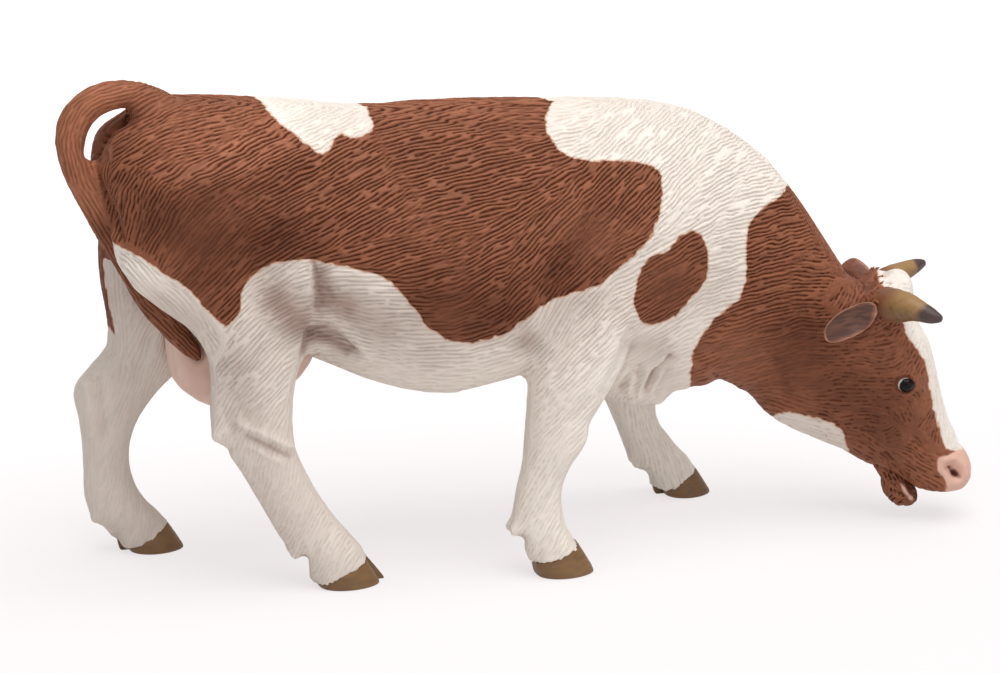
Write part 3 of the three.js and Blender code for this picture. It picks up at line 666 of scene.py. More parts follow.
# Lie of the hair, as the angle to the picture's right hand in degrees at points of the picture.
HAIR_LIE = [
    (200, 140, 20), (150, 110, 25), (240, 200, 38), (130, 230, 70), (280, 230, 30), (190, 270, 47),
    (230, 270, 52), (290, 275, 20), (270, 310, 35), (250, 360, 47), (280, 480, 70), (300, 530, 65),
    (350, 170, 30), (420, 130, 15), (480, 150, 10), (430, 200, 22), (500, 180, 10), (530, 150, 5),
    (350, 240, 35), (400, 260, 25), (470, 260, 22), (500, 300, 25), (540, 240, 45), (560, 200, 40),
    (340, 300, -15), (369, 288, -10), (390, 310, -5), (420, 370, -8), (480, 360, 5), (520, 340, 20),
    (610, 200, 47), (640, 180, 50), (590, 250, 50), (560, 290, 47), (620, 250, 20), (600, 270, 40),
    (540, 310, 80), (560, 320, 70), (600, 320, 30), (580, 360, 50), (560, 430, 50), (545, 500, 60),
    (540, 540, 65), (700, 150, 45), (740, 170, 15), (720, 200, 30), (690, 200, 50), (730, 250, 0),
    (740, 230, 5), (660, 230, 40), (670, 340, 20), (670, 280, 15), (690, 250, 45), (650, 300, 40),
    (770, 240, 20), (793, 267, 10), (830, 290, -20), (780, 300, 5), (770, 320, 25), (880, 350, -10),
    (860, 400, 5), (930, 400, -60), (900, 430, -50), (918, 463, -35), (820, 430, -20), (150, 497, 77),
    (181, 427, 68), (711, 477, -70)]
STRIP_LIE = [
    (124, 263, -40), (140, 276, -40), (160, 290, -38), (178, 306, -42), (194, 326, -50), (206, 342, -60)]
FACE_LIE = [
    (849, 347, 10), (863, 362, -15), (883, 396, -20), (893, 396, 25), (857, 401, 12), (854, 422, 8),
    (888, 432, 40), (898, 440, 20), (917, 444, -40), (932, 437, 70), (932, 408, 55), (924, 469, -40),
    (910, 459, -25), (892, 463, -60), (927, 461, 0), (895, 325, 60), (886, 335, 20), (912, 345, 70),
    (854, 296, 75), (840, 300, 60), (875, 290, 50), (870, 325, 35), (915, 372, 60), (898, 365, 30),
    (905, 415, -60), (920, 425, 45), (870, 440, -30), (880, 375, 0), (830, 385, 15), (835, 350, 5)]
FACE_REACH = 13.0
HAIR_REACH = 42.0
HAIR_STEP = 15.0
EDGE_LIE = 80.0
FACE_SHARE = 4.0
TAIL_FREE_FROM = 7.0


def doubled(lie):
    """The lie as cosine and sine of twice its angle, so that both ways along a hair count as one."""
    angle = np.radians(2 * np.asarray(lie))
    return np.stack([np.cos(angle), np.sin(angle)], -1)


def halved(course):
    return np.degrees(np.arctan2(course[..., 1], course[..., 0])) / 2


def mean_course(spots, votes):
    """Doubled course of the hair at each spot, as the mean of the given lies weighed by their distance."""
    course, weight = np.zeros((len(spots), 2)), np.full(len(spots), 1e-9)
    for lies, reach, share in votes:
        for u, v, lie in lies:
            near = share * stroke(spots, [(u, v)], reach) + 1e-7
            course += near[:, None] * doubled(lie)
            weight += near
    return course / weight[:, None]


def drawn_to(course, share, lie):
    return course * (1 - share[:, None]) + share[:, None] * doubled(lie)


course = mean_course(pic, ((HAIR_LIE, HAIR_REACH, 1.0), (FACE_LIE, FACE_REACH, FACE_SHARE),
                           (STRIP_LIE, FACE_REACH, np.where(is_left, 0.0, FACE_SHARE))))
side_on = ramp(np.abs(twin_normal @ camera_right), 0.75, 0.97)
inner_thigh = ramp(-outward, -0.3, 0.1) * (co[:, 2] < 48) * (spine[:, 0] < -20)
lie = halved(drawn_to(drawn_to(course, side_on, EDGE_LIE), inner_thigh, EDGE_LIE))
tail_station, tail_gap = line_station(co, TAIL_LINE)
tail_steps = np.linalg.norm(np.diff(TAIL_LINE, axis=0), axis=1)
tail_middles = np.cumsum(tail_steps) - tail_steps / 2
tail_course = np.diff(picture(TAIL_LINE), axis=0)
tail_lie = np.degrees(np.unwrap(np.arctan2(-tail_course[:, 1], tail_course[:, 0]))) - 180
tail_lie[:2] = tail_lie[2] + 10
tail_skin = tail_gap - np.interp(tail_station, np.r_[0, np.cumsum(tail_steps)], TAIL_RADII)
on_tail = ramp(tail_station, TAIL_FREE_FROM - 3, TAIL_FREE_FROM) * (1 - ramp(tail_skin, 0.4, 0.8))
tail_lie = np.interp(tail_station, tail_middles, tail_lie)
lie = halved(drawn_to(doubled(lie), on_tail, tail_lie))
lie = np.where(on_tail > 0.5, lie + 180 * np.round((tail_lie - lie) / 180), lie)


def store(mesh, name, values):
    kind = "FLOAT_VECTOR" if values.ndim == 2 else "FLOAT"
    layer = mesh.attributes.new(name, kind, "POINT")
    layer.data.foreach_set("vector" if values.ndim == 2 else "value", values.astype(np.float32).ravel())


def lay_hair(mesh, points, lie, normal):
    """Hair coordinates in two sets, turned in steps, with a third for the skin that faces fore or aft."""
    right, up, back = points @ camera_right, points @ camera_up, points @ camera_back

    def laid(steps, across, depth):
        steps = np.mod(steps, 180 / HAIR_STEP)
        angle = np.radians(steps * HAIR_STEP)
        return np.stack([across * np.cos(angle) + up * np.sin(angle) + steps * 7.3,
                         up * np.cos(angle) - across * np.sin(angle) + steps * 3.1, depth], -1)

    turns = lie / HAIR_STEP
    even = 2 * np.round(turns / 2)
    store(mesh, "lay_first", laid(even, right, back))
    store(mesh, "lay_second", laid(2 * np.floor(turns / 2) + 1, right, back))
    store(mesh, "lay_blend", ramp(np.abs(turns - even), 0.3, 0.7))
    store(mesh, "lay_side", laid(np.full(len(lie), EDGE_LIE / HAIR_STEP), back, right))
    store(mesh, "side_share", ramp(np.abs(normal @ camera_right), 0.72, 0.88))


own = (on_tail > 0.5)[:, None]
lay_hair(body, np.where(own, co, right_twin(co)), lie, np.where(own, normal, twin_normal))
turning = np.abs((lie[edges[:, 0]] - lie[edges[:, 1]] + 90) % 180 - 90)
crossing = np.zeros(len(co))
for end in (0, 1):
    np.maximum.at(crossing, edges[:, end], turning)

# Airbrushed grey that also stands in for shade, as strokes in picture points: painted shade in the hollows,
# folds and creases, round the eye, in the nostril and low on the body, and painted highlights on the rump and
# back where the amount is negative.
SHADES = [
    ([(170, 225), (230, 240), (280, 235)], 38, 0.55), ([(200, 280)], 25, 0.4),
    ([(430, 300), (500, 310)], 30, 0.35), ([(595, 225), (560, 270)], 18, 0.4),
    ([(800, 360), (870, 400)], 45, 0.45), ([(900, 440)], 30, 0.25), ([(670, 285)], 30, 0.25),
    ([(800, 330)], 30, 0.3), ([(276, 300), (298, 322)], 22, 0.75), ([(322, 272), (325, 298)], 9, 0.6),
    ([(345, 306)], 16, 0.35), ([(312, 335), (330, 339), (347, 350)], 7, 0.7),
    ([(632, 345), (662, 345)], 12, 0.3), ([(340, 300), (380, 325)], 25, 0.42),
    ([(240, 370), (262, 440), (290, 520)], 30, 0.12), ([(190, 145), (255, 130)], 38, -0.40),
    ([(390, 112), (530, 108)], 14, -0.2), ([(430, 360)], 30, 0.2), ([(660, 368)], 26, 0.32),
    ([(309, 332), (305, 345), (303, 353)], 3.5, 0.4), ([(528, 345)], 14, 0.4),
    ([(560, 300), (600, 300)], 18, 0.2), ([(565, 345), (555, 420)], 22, 0.1),
    ([(850, 400), (880, 425)], 25, 0.1), ([(954, 473), (960, 477)], 4.5, 0.65),
    ([(951, 467), (954, 472)], 4.5, 0.45), (circle(EYE, 9), 1.6, 0.55), ([(790, 425), (830, 440)], 16, 0.1),
    ([(160, 300), (195, 325)], 18, 0.25), ([(235, 370), (250, 420)], 16, 0.2)]
# Painted shade under the belly, low on the legs, on the near hind leg and between the thighs; painted light
# on the far fore leg, which sits in the body's shade.
ALL_WASH = 0.06
BELLY_SHADE = 0.22
LOW_LEG_SHADE = 0.07
INNER_THIGH_SHADE = 0.2
HIND_LEG_SHADE_LEFT, HIND_LEG_SHADE_RIGHT = 0.02, 0.13
LEFT_FORE_LEG_PAINTED_LIGHT = -0.12
HOLLOW_SHADE, RIDGE_HIGHLIGHT = 0.8, -0.2
HOLLOW_DEPTHS = (0.05, 0.5)
HOLLOW_SMOOTHING = 40
length, height = spine[:, 0], co[:, 2]
hind_leg_shade = np.where(is_left, HIND_LEG_SHADE_LEFT, HIND_LEG_SHADE_RIGHT)
airbrush_and_shading = ALL_WASH + BELLY_SHADE * (1 - ramp(height, 38, 54)) * ramp(height, 30, 40) * (1 - ramp(length, 24, 40))
airbrush_and_shading = airbrush_and_shading + LOW_LEG_SHADE * (1 - ramp(length, 20, 28)) * (1 - ramp(height, 24, 34))
airbrush_and_shading = airbrush_and_shading + INNER_THIGH_SHADE * inner_thigh
airbrush_and_shading = airbrush_and_shading + hind_leg_shade * (1 - ramp(length, -30, -20)) * (1 - ramp(height, 30, 38))
airbrush_and_shading = airbrush_and_shading + LEFT_FORE_LEG_PAINTED_LIGHT * is_left * ramp(length, 4, 12) * (1 - ramp(height, 24, 36))
far_share = 1 - 0.4 * ramp(spine[:, 1], 2, 12) * (spine[:, 0] < HEAD_FROM)
for line, width, amount in SHADES:
    airbrush_and_shading = airbrush_and_shading + amount * far_share * stroke(pic, line, width)
# Painted shade in the hollows of the skin, and a painted highlight on its ridges.
hollow = smoothed(co, edges, HOLLOW_SMOOTHING, 1.0)
hollow = ((hollow - co) * normal).sum(1)
airbrush_and_shading = airbrush_and_shading + HOLLOW_SHADE * ramp(hollow, *HOLLOW_DEPTHS) + RIDGE_HIGHLIGHT * ramp(-hollow, *HOLLOW_DEPTHS)
airbrush_and_shading = np.clip(airbrush_and_shading, -0.35, 1)
SMOOTH_SPOTS = [
    (670, 285, 30), (740, 350, 28), (660, 375, 20), (150, 285, 16), (190, 322, 16), (200, 240, 45),
    (590, 235, 25), (450, 315, 22), (190, 300, 20), (620, 350, 14), (606, 382, 14), (800, 365, 38),
    (645, 345, 18)]
LEG_HAIR_CUT, FACE_HAIR_CUT, SPOT_CUT, INNER_THIGH_CUT = 0.45, 0.4, 0.7, 0.5
TAIL_HAIR, SWITCH_HAIR, TAIL_JOINT_CUT, UNDER_TAIL_CUT = 0.42, 0.15, 0.6, 0.7
TAIL_WASH, SWITCH_WASH = -0.36, 0.6
CROSSING_DEGREES = (2.5, 6)
leg_hair = 1 - LEG_HAIR_CUT * (1 - ramp(height, 22, 36))
leg_hair = np.where((height < 40) & (length < HEAD_FROM), leg_hair, 1.0)
short_hair = (1 - FACE_HAIR_CUT * ramp(spine[:, 0], 44, 52)) * (1 - ramp(bare, -0.6, 0.2)) * leg_hair
for u, v, reach in SMOOTH_SPOTS:
    short_hair = short_hair * (1 - SPOT_CUT * stroke(pic, [(u, v)], reach))
switch = ramp(tail_station, 30, 36)
short_hair = short_hair * (1 - INNER_THIGH_CUT * inner_thigh)
tail_share = (on_tail > 0.5) * ramp(tail_station, 5, 12)
short_hair = short_hair + (TAIL_HAIR + SWITCH_HAIR * switch - short_hair) * tail_share
tail_joint = np.exp(-((tail_station - 5.5) / 2.5) ** 2) * (1 - ramp(tail_skin, 0.5, 2.0))
short_hair = short_hair * (1 - TAIL_JOINT_CUT * tail_joint)
under_tail = stroke(pic, TAIL_HOLLOW, TAIL_HOLLOW_WIDTH) * (1 - on_tail)
short_hair = short_hair * (1 - UNDER_TAIL_CUT * under_tail) * (1 - ramp(crossing, *CROSSING_DEGREES))
airbrush_and_shading = airbrush_and_shading + (SWITCH_WASH * switch + TAIL_WASH - airbrush_and_shading) * tail_share
brown = np.where(on_tail > 0.5, FAR_INSIDE, brown)
store(body, "brown", brown)
store(body, "bare", bare)
store(body, "carve", short_hair)
store(body, "airbrush_and_shading", airbrush_and_shading)
dash = 0.15 + 0.35 * (1 - ramp(co[:, 2], 24, 34))
dash = dash + (0.75 - dash) * ramp(spine[:, 0], 40, 50)
store(body, "dash", dash * (1 - tail_share))


def eased(tree, value, low, high, from_value, to_value):
    return mapped(tree, value, low, high, from_value, to_value, "SMOOTHSTEP")


def stretched_noise(tree, lay, stretch, shift, detail):
    scaled = node(tree, "ShaderNodeVectorMath", operation="MULTIPLY_ADD")
    scaled.inputs[1].default_value = stretch
    scaled.inputs[2].default_value = shift
    link(tree, lay, scaled.inputs[0])
    noise = node(tree, "ShaderNodeTexNoise")
    noise.inputs["Scale"].default_value = 1
    noise.inputs["Detail"].default_value = detail
    noise.inputs["Roughness"].default_value = 0.45
    noise.inputs["Distortion"].default_value = 0.25
    link(tree, scaled.outputs[0], noise.inputs["Vector"])
    return noise.outputs[0]


def blended(tree, factor, first, second):
    mix = node(tree, "ShaderNodeMix", data_type="FLOAT")
    link(tree, factor, mix.inputs["Factor"])
    link(tree, first, mix.inputs["A"])
    link(tree, second, mix.inputs["B"])
    return mix.outputs["Result"]


HAIR_PITCH = 0.57
HAIR_SWAY = 1.7
SWAY_STRETCH = (0.20, 0.42, 0.55)
STRAND_ENDS = (0.50, 7.7)
DASHES = (0.95, 3.3)
STRAND_TONES = (0.2, 5.3)
CARVED_WIDTH = 0.5
PAINTED_WIDTH = 0.40
HAIR_COORDINATES = ("lay_first", "lay_second", "lay_side")


def hair_layer(tree, lay, dash, width, shift):
    """One set of strands: the groove between them, and a tone that changes from strand to strand."""
    parts = node(tree, "ShaderNodeSeparateXYZ")
    link(tree, lay, parts.inputs[0])
    sway = stretched_noise(tree, lay, SWAY_STRETCH, shift, 1.0)
    phase = computed(tree, "ADD", computed(tree, "DIVIDE", parts.outputs[1], HAIR_PITCH),
                     computed(tree, "MULTIPLY", sway, HAIR_SWAY))
    line = computed(tree, "ROUND", phase, 0)
    offset = computed(tree, "ABSOLUTE", computed(tree, "SUBTRACT", phase, line), 0)

    def along_strand(number, stretch, stagger):
        spot = node(tree, "ShaderNodeCombineXYZ")
        link(tree, computed(tree, "MULTIPLY", parts.outputs[0], stretch), spot.inputs[0])
        link(tree, computed(tree, "MULTIPLY", number, stagger), spot.inputs[1])
        noise = node(tree, "ShaderNodeTexNoise", noise_dimensions="2D")
        noise.inputs["Scale"].default_value = 1
        noise.inputs["Detail"].default_value = 0
        link(tree, spot.outputs[0], noise.inputs["Vector"])
        return noise.outputs[0]

    broken = eased(tree, along_strand(line, *STRAND_ENDS), 0.19, 0.40, 0.0, 1.0)
    gap = computed(tree, "MULTIPLY", eased(tree, along_strand(line, *DASHES), 0.43, 0.55, 1.0, 0.0), dash)
    broken = computed(tree, "SUBTRACT", broken, computed(tree, "MULTIPLY", broken, gap))
    groove = computed(tree, "MULTIPLY", eased(tree, offset, 0.0, width, 1.0, 0.0), broken)
    return groove, along_strand(computed(tree, "FLOOR", phase, 0), *STRAND_TONES)


def hair_grooves(tree, layer, width):
    """Thin broken grooves between strands, 1 in the groove and 0 on the strand, and the strands' tone."""
    dash, blend, side_share = layer("dash"), layer("lay_blend"), layer("side_share")
    first = hair_layer(tree, layer("lay_first"), dash, width, (0, 0, 0))
    second = hair_layer(tree, layer("lay_second"), dash, width, (31, 17, 5))
    side = hair_layer(tree, layer("lay_side"), dash, width, (7, 41, 13))
    return [blended(tree, side_share, blended(tree, blend, a, b), c)
            for a, b, c in zip(first, second, side)]


def new_sockets(tree, in_out, kinds):
    return {name: tree.interface.new_socket(name, in_out=in_out, socket_type="NodeSocket" + kind)
            for name, kind in kinds.items()}


relief = bpy.data.node_groups.new("carved_hair", "GeometryNodeTree")
carve_inputs = new_sockets(relief, "INPUT", {"Geometry": "Geometry", "Depth": "Float", "Tuft Height": "Float",
                                             "Coat": "Material"})
new_sockets(relief, "OUTPUT", {"Geometry": "Geometry"})
entry = node(relief, "NodeGroupInput")
leave = node(relief, "NodeGroupOutput")


def stored(name):
    kind = "FLOAT_VECTOR" if name in HAIR_COORDINATES else "FLOAT"
    named = node(relief, "GeometryNodeInputNamedAttribute", data_type=kind)
    named.inputs["Name"].default_value = name
    return named.outputs["Attribute"]


groove, tuft = hair_grooves(relief, stored, CARVED_WIDTH)
sunk = computed(relief, "MULTIPLY", groove, entry.outputs["Depth"])
raised = computed(relief, "MULTIPLY", computed(relief, "SUBTRACT", tuft, 0.5),
                  entry.outputs["Tuft Height"])
height = computed(relief, "MULTIPLY", computed(relief, "SUBTRACT", raised, sunk), stored("carve"))
along_normal = node(relief, "ShaderNodeVectorMath", operation="SCALE")
link(relief, node(relief, "GeometryNodeInputNormal").outputs["Normal"], along_normal.inputs[0])
link(relief, height, along_normal.inputs["Scale"])
shifted = node(relief, "GeometryNodeSetPosition")
link(relief, entry.outputs["Geometry"], shifted.inputs["Geometry"])
link(relief, along_normal.outputs[0], shifted.inputs["Offset"])
painted = node(relief, "GeometryNodeSetMaterial")
link(relief, shifted.outputs[0], painted.inputs["Geometry"])
link(relief, entry.outputs["Coat"], painted.inputs["Material"])
realized = node(relief, "GeometryNodeRealizeInstances")
link(relief, painted.outputs[0], realized.inputs["Geometry"])
link(relief, realized.outputs[0], leave.inputs["Geometry"])

# Paint: white ground, chestnut brown sprayed over it, dark wash in the grooves that also stands in for their
# shade, painted shade and highlights over the body, bare pink muzzle.
# It covers the castings and the filled joints between them in one coat.
strokes = bpy.data.node_groups.new("hair_strokes", "ShaderNodeTree")
new_sockets(strokes, "OUTPUT", {"Groove": "Float", "Strand": "Float", "Edge": "Float"})
leave = node(strokes, "NodeGroupOutput")


def carried(tree, name, output):
    return node(tree, "ShaderNodeAttribute", attribute_name=name).outputs[output]


def painted_layer(name):
    return carried(strokes, name, "Vector" if name in HAIR_COORDINATES else "Fac")


groove, tuft = hair_grooves(strokes, painted_layer, PAINTED_WIDTH)
fine = stretched_noise(strokes, carried(strokes, "lay_first", "Vector"), (0.5, 3.2, 3.2), (11, 5, 9), 2.0)
ragged = stretched_noise(strokes, object_place(strokes), (700, 700, 700), (0, 0, 0), 2.0)
edge = computed(strokes, "SUBTRACT", ragged, 0.5)
link(strokes, groove, leave.inputs["Groove"])
link(strokes, computed(strokes, "ADD", computed(strokes, "MULTIPLY", fine, 0.6),
                       computed(strokes, "MULTIPLY", tuft, 0.4)), leave.inputs["Strand"])
link(strokes, edge, leave.inputs["Edge"])


STRAND_BROWN = (0.298, 0.108, 0.056)
GROOVE_AND_SHADE_BROWN = (0.058, 0.012, 0.003)
EDGE_ORANGE = (0.60, 0.30, 0.16)
STRAND_WHITE = (0.91, 0.835, 0.752)
GROOVE_WHITE = (0.58, 0.44, 0.36)
AIRBRUSH_AND_SHADE_GREY = (0.40, 0.285, 0.24)
MUZZLE_PINK = (0.70, 0.43, 0.34)
NOSTRIL_RED = (0.13, 0.035, 0.025)

def bumped(tree, shader, height, strength, depth):
    bump = node(tree, "ShaderNodeBump")
    bump.inputs["Strength"].default_value = strength
    bump.inputs["Distance"].default_value = depth
    link(tree, height, bump.inputs["Height"])
    link(tree, bump.outputs["Normal"], shader.inputs["Normal"])


coat, tree, shader = new_paint("painted_coat")
hair = node(tree, "ShaderNodeGroup", node_tree=strokes)
edge_shift = computed(tree, "MULTIPLY", hair.outputs["Edge"], 0.9)
cover = computed(tree, "ADD", carried(tree, "brown", "Fac"), edge_shift)
brown_share = eased(tree, cover, -0.06, 0.16, 0.0, 1.0)
orange_share = eased(tree, cover, -0.28, 0.04, 0.0, 1.0)
groove_depth = computed(tree, "MULTIPLY", hair.outputs["Groove"], carried(tree, "carve", "Fac"))
# Dark wash in the grooves, which also stands in for the grooves' shade.
brown_paint = colour_mix(tree, groove_depth, STRAND_BROWN, GROOVE_AND_SHADE_BROWN)
white_paint = colour_mix(tree, computed(tree, "MULTIPLY", groove_depth, 0.42), STRAND_WHITE, GROOVE_WHITE)
# Painted shade and highlight: white turns grey and brown darkens where the airbrushed shading is high, both
# lighten where it is negative, and lock roots get extra painted shade.
airbrush_and_shade_share = computed(tree, "ADD", carried(tree, "airbrush_and_shading", "Fac"),
                      computed(tree, "MULTIPLY", carried(tree, "root_shade", "Fac"), 0.25))
white_paint = colour_mix(tree, airbrush_and_shade_share, white_paint, AIRBRUSH_AND_SHADE_GREY)
brown_paint = colour_mix(tree, airbrush_and_shade_share, brown_paint, GROOVE_AND_SHADE_BROWN)
ground = colour_mix(tree, computed(tree, "MULTIPLY", orange_share, 0.7), white_paint, EDGE_ORANGE)
paint = colour_mix(tree, brown_share, ground, brown_paint)
brown_tone = eased(tree, hair.outputs["Strand"], 0.35, 0.65, 0.84, 1.16)
white_tone = eased(tree, hair.outputs["Strand"], 0.35, 0.65, 0.95, 1.03)
tone = node(tree, "ShaderNodeHueSaturation")
link(tree, blended(tree, brown_share, white_tone, brown_tone), tone.inputs["Value"])
link(tree, paint, tone.inputs["Color"])
bare_cover = computed(tree, "ADD", carried(tree, "bare", "Fac"), edge_shift)
bare_share = eased(tree, bare_cover, -0.15, 0.25, 0.0, 1.0)
# The nostril's dark red shows where the painted shade in its pit is deep.
muzzle_paint = colour_mix(tree, eased(tree, airbrush_and_shade_share, 0.45, 1.0, 0.0, 1.0), MUZZLE_PINK, NOSTRIL_RED)
skin_paint = colour_mix(tree, bare_share, tone.outputs["Color"], muzzle_paint)
link(tree, skin_paint, shader.inputs["Base Color"])
link(tree, eased(tree, groove_depth, 0.0, 0.6, 0.55, 0.95), shader.inputs["Roughness"])
shader.inputs["Specular IOR Level"].default_value = 0.18
strand_height = computed(tree, "MULTIPLY", hair.outputs["Strand"], 0.5)
bumped(tree, shader, computed(tree, "SUBTRACT", strand_height, groove_depth), 0.8, 0.00014)

HAIR_DEPTH = 0.23
TUFT_HEIGHT = 0.28


def add_nodes(holder, group, inputs, values):
    modifier = holder.modifiers.new(group.name, "NODES")
    modifier.node_group = group
    for name, value in values.items():
        modifier[inputs[name].identifier] = value


def carve(holder):
    add_nodes(holder, relief, carve_inputs,
              {"Depth": HAIR_DEPTH * MM, "Tuft Height": TUFT_HEIGHT * MM, "Coat": coat})


body = evaluated(body, carve)


# Castings: the painted skin is parted again into the pieces that were cast, each closed at its joint.
# Head, legs and tail are plugged into the trunk, and the trunk's halves meet in the middle plane.
NECK_JOINT_TOP = (31.99, 60.4)
NECK_JOINT_FOOT = (26.79, 22.3)
LEG_JOINTS = {"right_hind_leg": 31.0, "left_hind_leg": 31.0, "right_fore_leg": 25.0, "left_fore_leg": 25.0}
COAT_LAYERS = [
    "lay_first", "lay_second", "lay_blend", "lay_side", "side_share", "brown", "bare", "carve", "airbrush_and_shading",
    "dash"]

skin_points = points_of(body)
skin_normals = normals_of(body)
corners = np.empty(len(body.loops), np.int32)
body.loops.foreach_get("vertex_index", corners)
corners = corners.reshape(-1, 4)
centre = skin_points[corners].mean(1)
lean = (NECK_JOINT_TOP[0] - NECK_JOINT_FOOT[0]) / (NECK_JOINT_TOP[1] - NECK_JOINT_FOOT[1])
ahead = centre[:, 0] > NECK_JOINT_FOOT[0] + (centre[:, 2] - NECK_JOINT_FOOT[1]) * lean
owner = np.where(centre[:, 1] > 0, "torso_left", "torso_right").astype("U20")
owner[ahead] = "head_and_neck"
for name, joint in LEG_JOINTS.items():
    low, high = box_of(name)
    inside = ((centre[:, :2] > low[:2] - 1) & (centre[:, :2] < high[:2] + 1)).all(1)
    owner[inside & (centre[:, 2] < joint)] = name
owner[on_tail[corners].mean(1) > 0.5] = "tail"


def layer_values(mesh, name):
    layer = mesh.attributes[name]
    wide = layer.data_type == "FLOAT_VECTOR"
    values = np.empty(len(layer.data) * (3 if wide else 1), np.float32)
    layer.data.foreach_get("vector" if wide else "value", values)
    return values.reshape(-1, 3) if wide else values


def rim_loops(faces):
    """Closed chains of vertices around the open rims of a set of quads."""
    start, end = faces.ravel().astype(np.int64), np.roll(faces, -1, 1).ravel().astype(np.int64)
    count = faces.max() + 1
    open_edge = ~np.isin(start * count + end, end * count + start)
    follow = {}
    for a, b in zip(start[open_edge].tolist(), end[open_edge].tolist()):
        follow.setdefault(a, []).append(b)
    loops = []
    while follow:
        first = here = next(iter(follow))
        loop = []
        while True:
            loop.append(here)
            there = follow[here].pop()
            if not follow[here]:
                del follow[here]
            here = there
            if here == first:
                break
        loops.append(loop)
    return loops


LID_SINK = 0.5


def parted(name, keep):
    """The kept faces of the skin as a mesh of their own, with a sunk lid in each open rim."""
    used, faces = np.unique(corners[keep], return_inverse=True)
    faces = faces.reshape(-1, 4)
    rings, hubs, quads, fans = [], [], [faces], []
    loops = rim_loops(faces)
    ring_start, hub = len(used), len(used) + sum(len(loop) for loop in loops)
    for loop in loops:
        ring = np.arange(ring_start, ring_start + len(loop))
        rim, after = np.array(loop), np.roll(loop, -1)
        quads.append(np.stack([after, rim, ring, np.roll(ring, -1)], -1))
        fans.append(np.stack([np.roll(ring, -1), ring, np.full(len(loop), hub)], -1))
        rings.append(skin_points[used[loop]] - LID_SINK * skin_normals[used[loop]])
        hubs.append(rings[-1].mean(0)[None])
        ring_start, hub = ring_start + len(loop), hub + 1
    points = np.vstack([skin_points[used]] + rings + hubs)
    source = np.concatenate([used] + [used[loop] for loop in loops] + [used[loop[:1]] for loop in loops])
    quads, fans = np.vstack(quads), np.vstack(fans)
    index = np.concatenate([quads.ravel(), fans.ravel()])
    starts = np.concatenate([np.arange(len(quads)) * 4, quads.size + np.arange(len(fans)) * 3])
    mesh = bpy.data.meshes.new(name)
    mesh.vertices.add(len(points))
    mesh.loops.add(len(index))
    mesh.polygons.add(len(starts))
    mesh.loops.foreach_set("vertex_index", index.astype(np.int32))
    mesh.polygons.foreach_set("loop_start", starts.astype(np.int32))
    set_points(mesh, points)
    mesh.update(calc_edges=True)
    for layer in COAT_LAYERS:
        store(mesh, layer, layer_values(body, layer)[source])
    mesh.materials.append(coat)
    mesh.normals_split_custom_set_from_vertices(skin_normals[source].tolist())
    return mesh


def piece(name, mesh, node_name):
    made = bpy.data.objects.new(name, mesh)
    bpy.context.scene.collection.objects.link(made)
    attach(made, "root")
    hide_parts(node_name)


HAUNCH_END = -14.0
for name in BODY_NODES:
    parts = {name + "_skin": owner == name}
    if name.startswith("torso"):
        rear = centre[:, 0] < HAUNCH_END
        parts = {name + "_haunch_skin": (owner == name) & rear,
                 name + "_chest_skin": (owner == name) & ~rear}
    for part_name, keep in parts.items():
        piece(part_name, parted(part_name, keep), name)


# Hooves: two claws of horn side by side, with a cleft between them, glued under each leg.
# Cast in vinyl and painted brown with darker streaks.
HOOF_WIDTH = 7.4
CORONET_HEEL = {"right_hind": 0.9, "left_hind": 1.9, "right_fore": 1.9, "left_fore": 1.9}
CORONET_TOE = {"right_hind": 3.4, "left_hind": 3.6, "right_fore": 4.2, "left_fore": 3.6}
CLEFT_HEEL = 0.08
CLEFT_TOE = 0.42
HEEL_TRIM = {"right_hind": 0.0, "left_hind": 1.2, "right_fore": 0.0, "left_fore": 1.2}
OUTER_LEAD = {"right_hind": -0.2, "left_hind": 0.0, "right_fore": 0.5, "left_fore": 0.0}
INNER_LEAD = {"right_hind": 0.9, "left_hind": 0.3, "right_fore": 0.75, "left_fore": 0.3}
CLAW_SIDES = 40
SOLE_BEVEL = (0.3, 0.06)
WALL_RING_DEPTH, WALL_RING_TURN = 0.035, 31
WALL_BULGE = 0.25
CORONET_INSET = 0.25
CORONET_OVERLAP = 0.4
TOE_NARROWING = 0.22
HOOF_BROWN = (0.235, 0.121, 0.042)
HOOF_DARK = (0.085, 0.048, 0.022)


def joined(meshes):
    whole = bmesh.new()
    for mesh in meshes:
        whole.from_mesh(mesh)
        bpy.data.meshes.remove(mesh)
    bmesh.ops.recalc_face_normals(whole, faces=whole.faces)
    result = bpy.data.meshes.new("joined")
    whole.to_mesh(result)
    whole.free()
    result.shade_smooth()
    return result


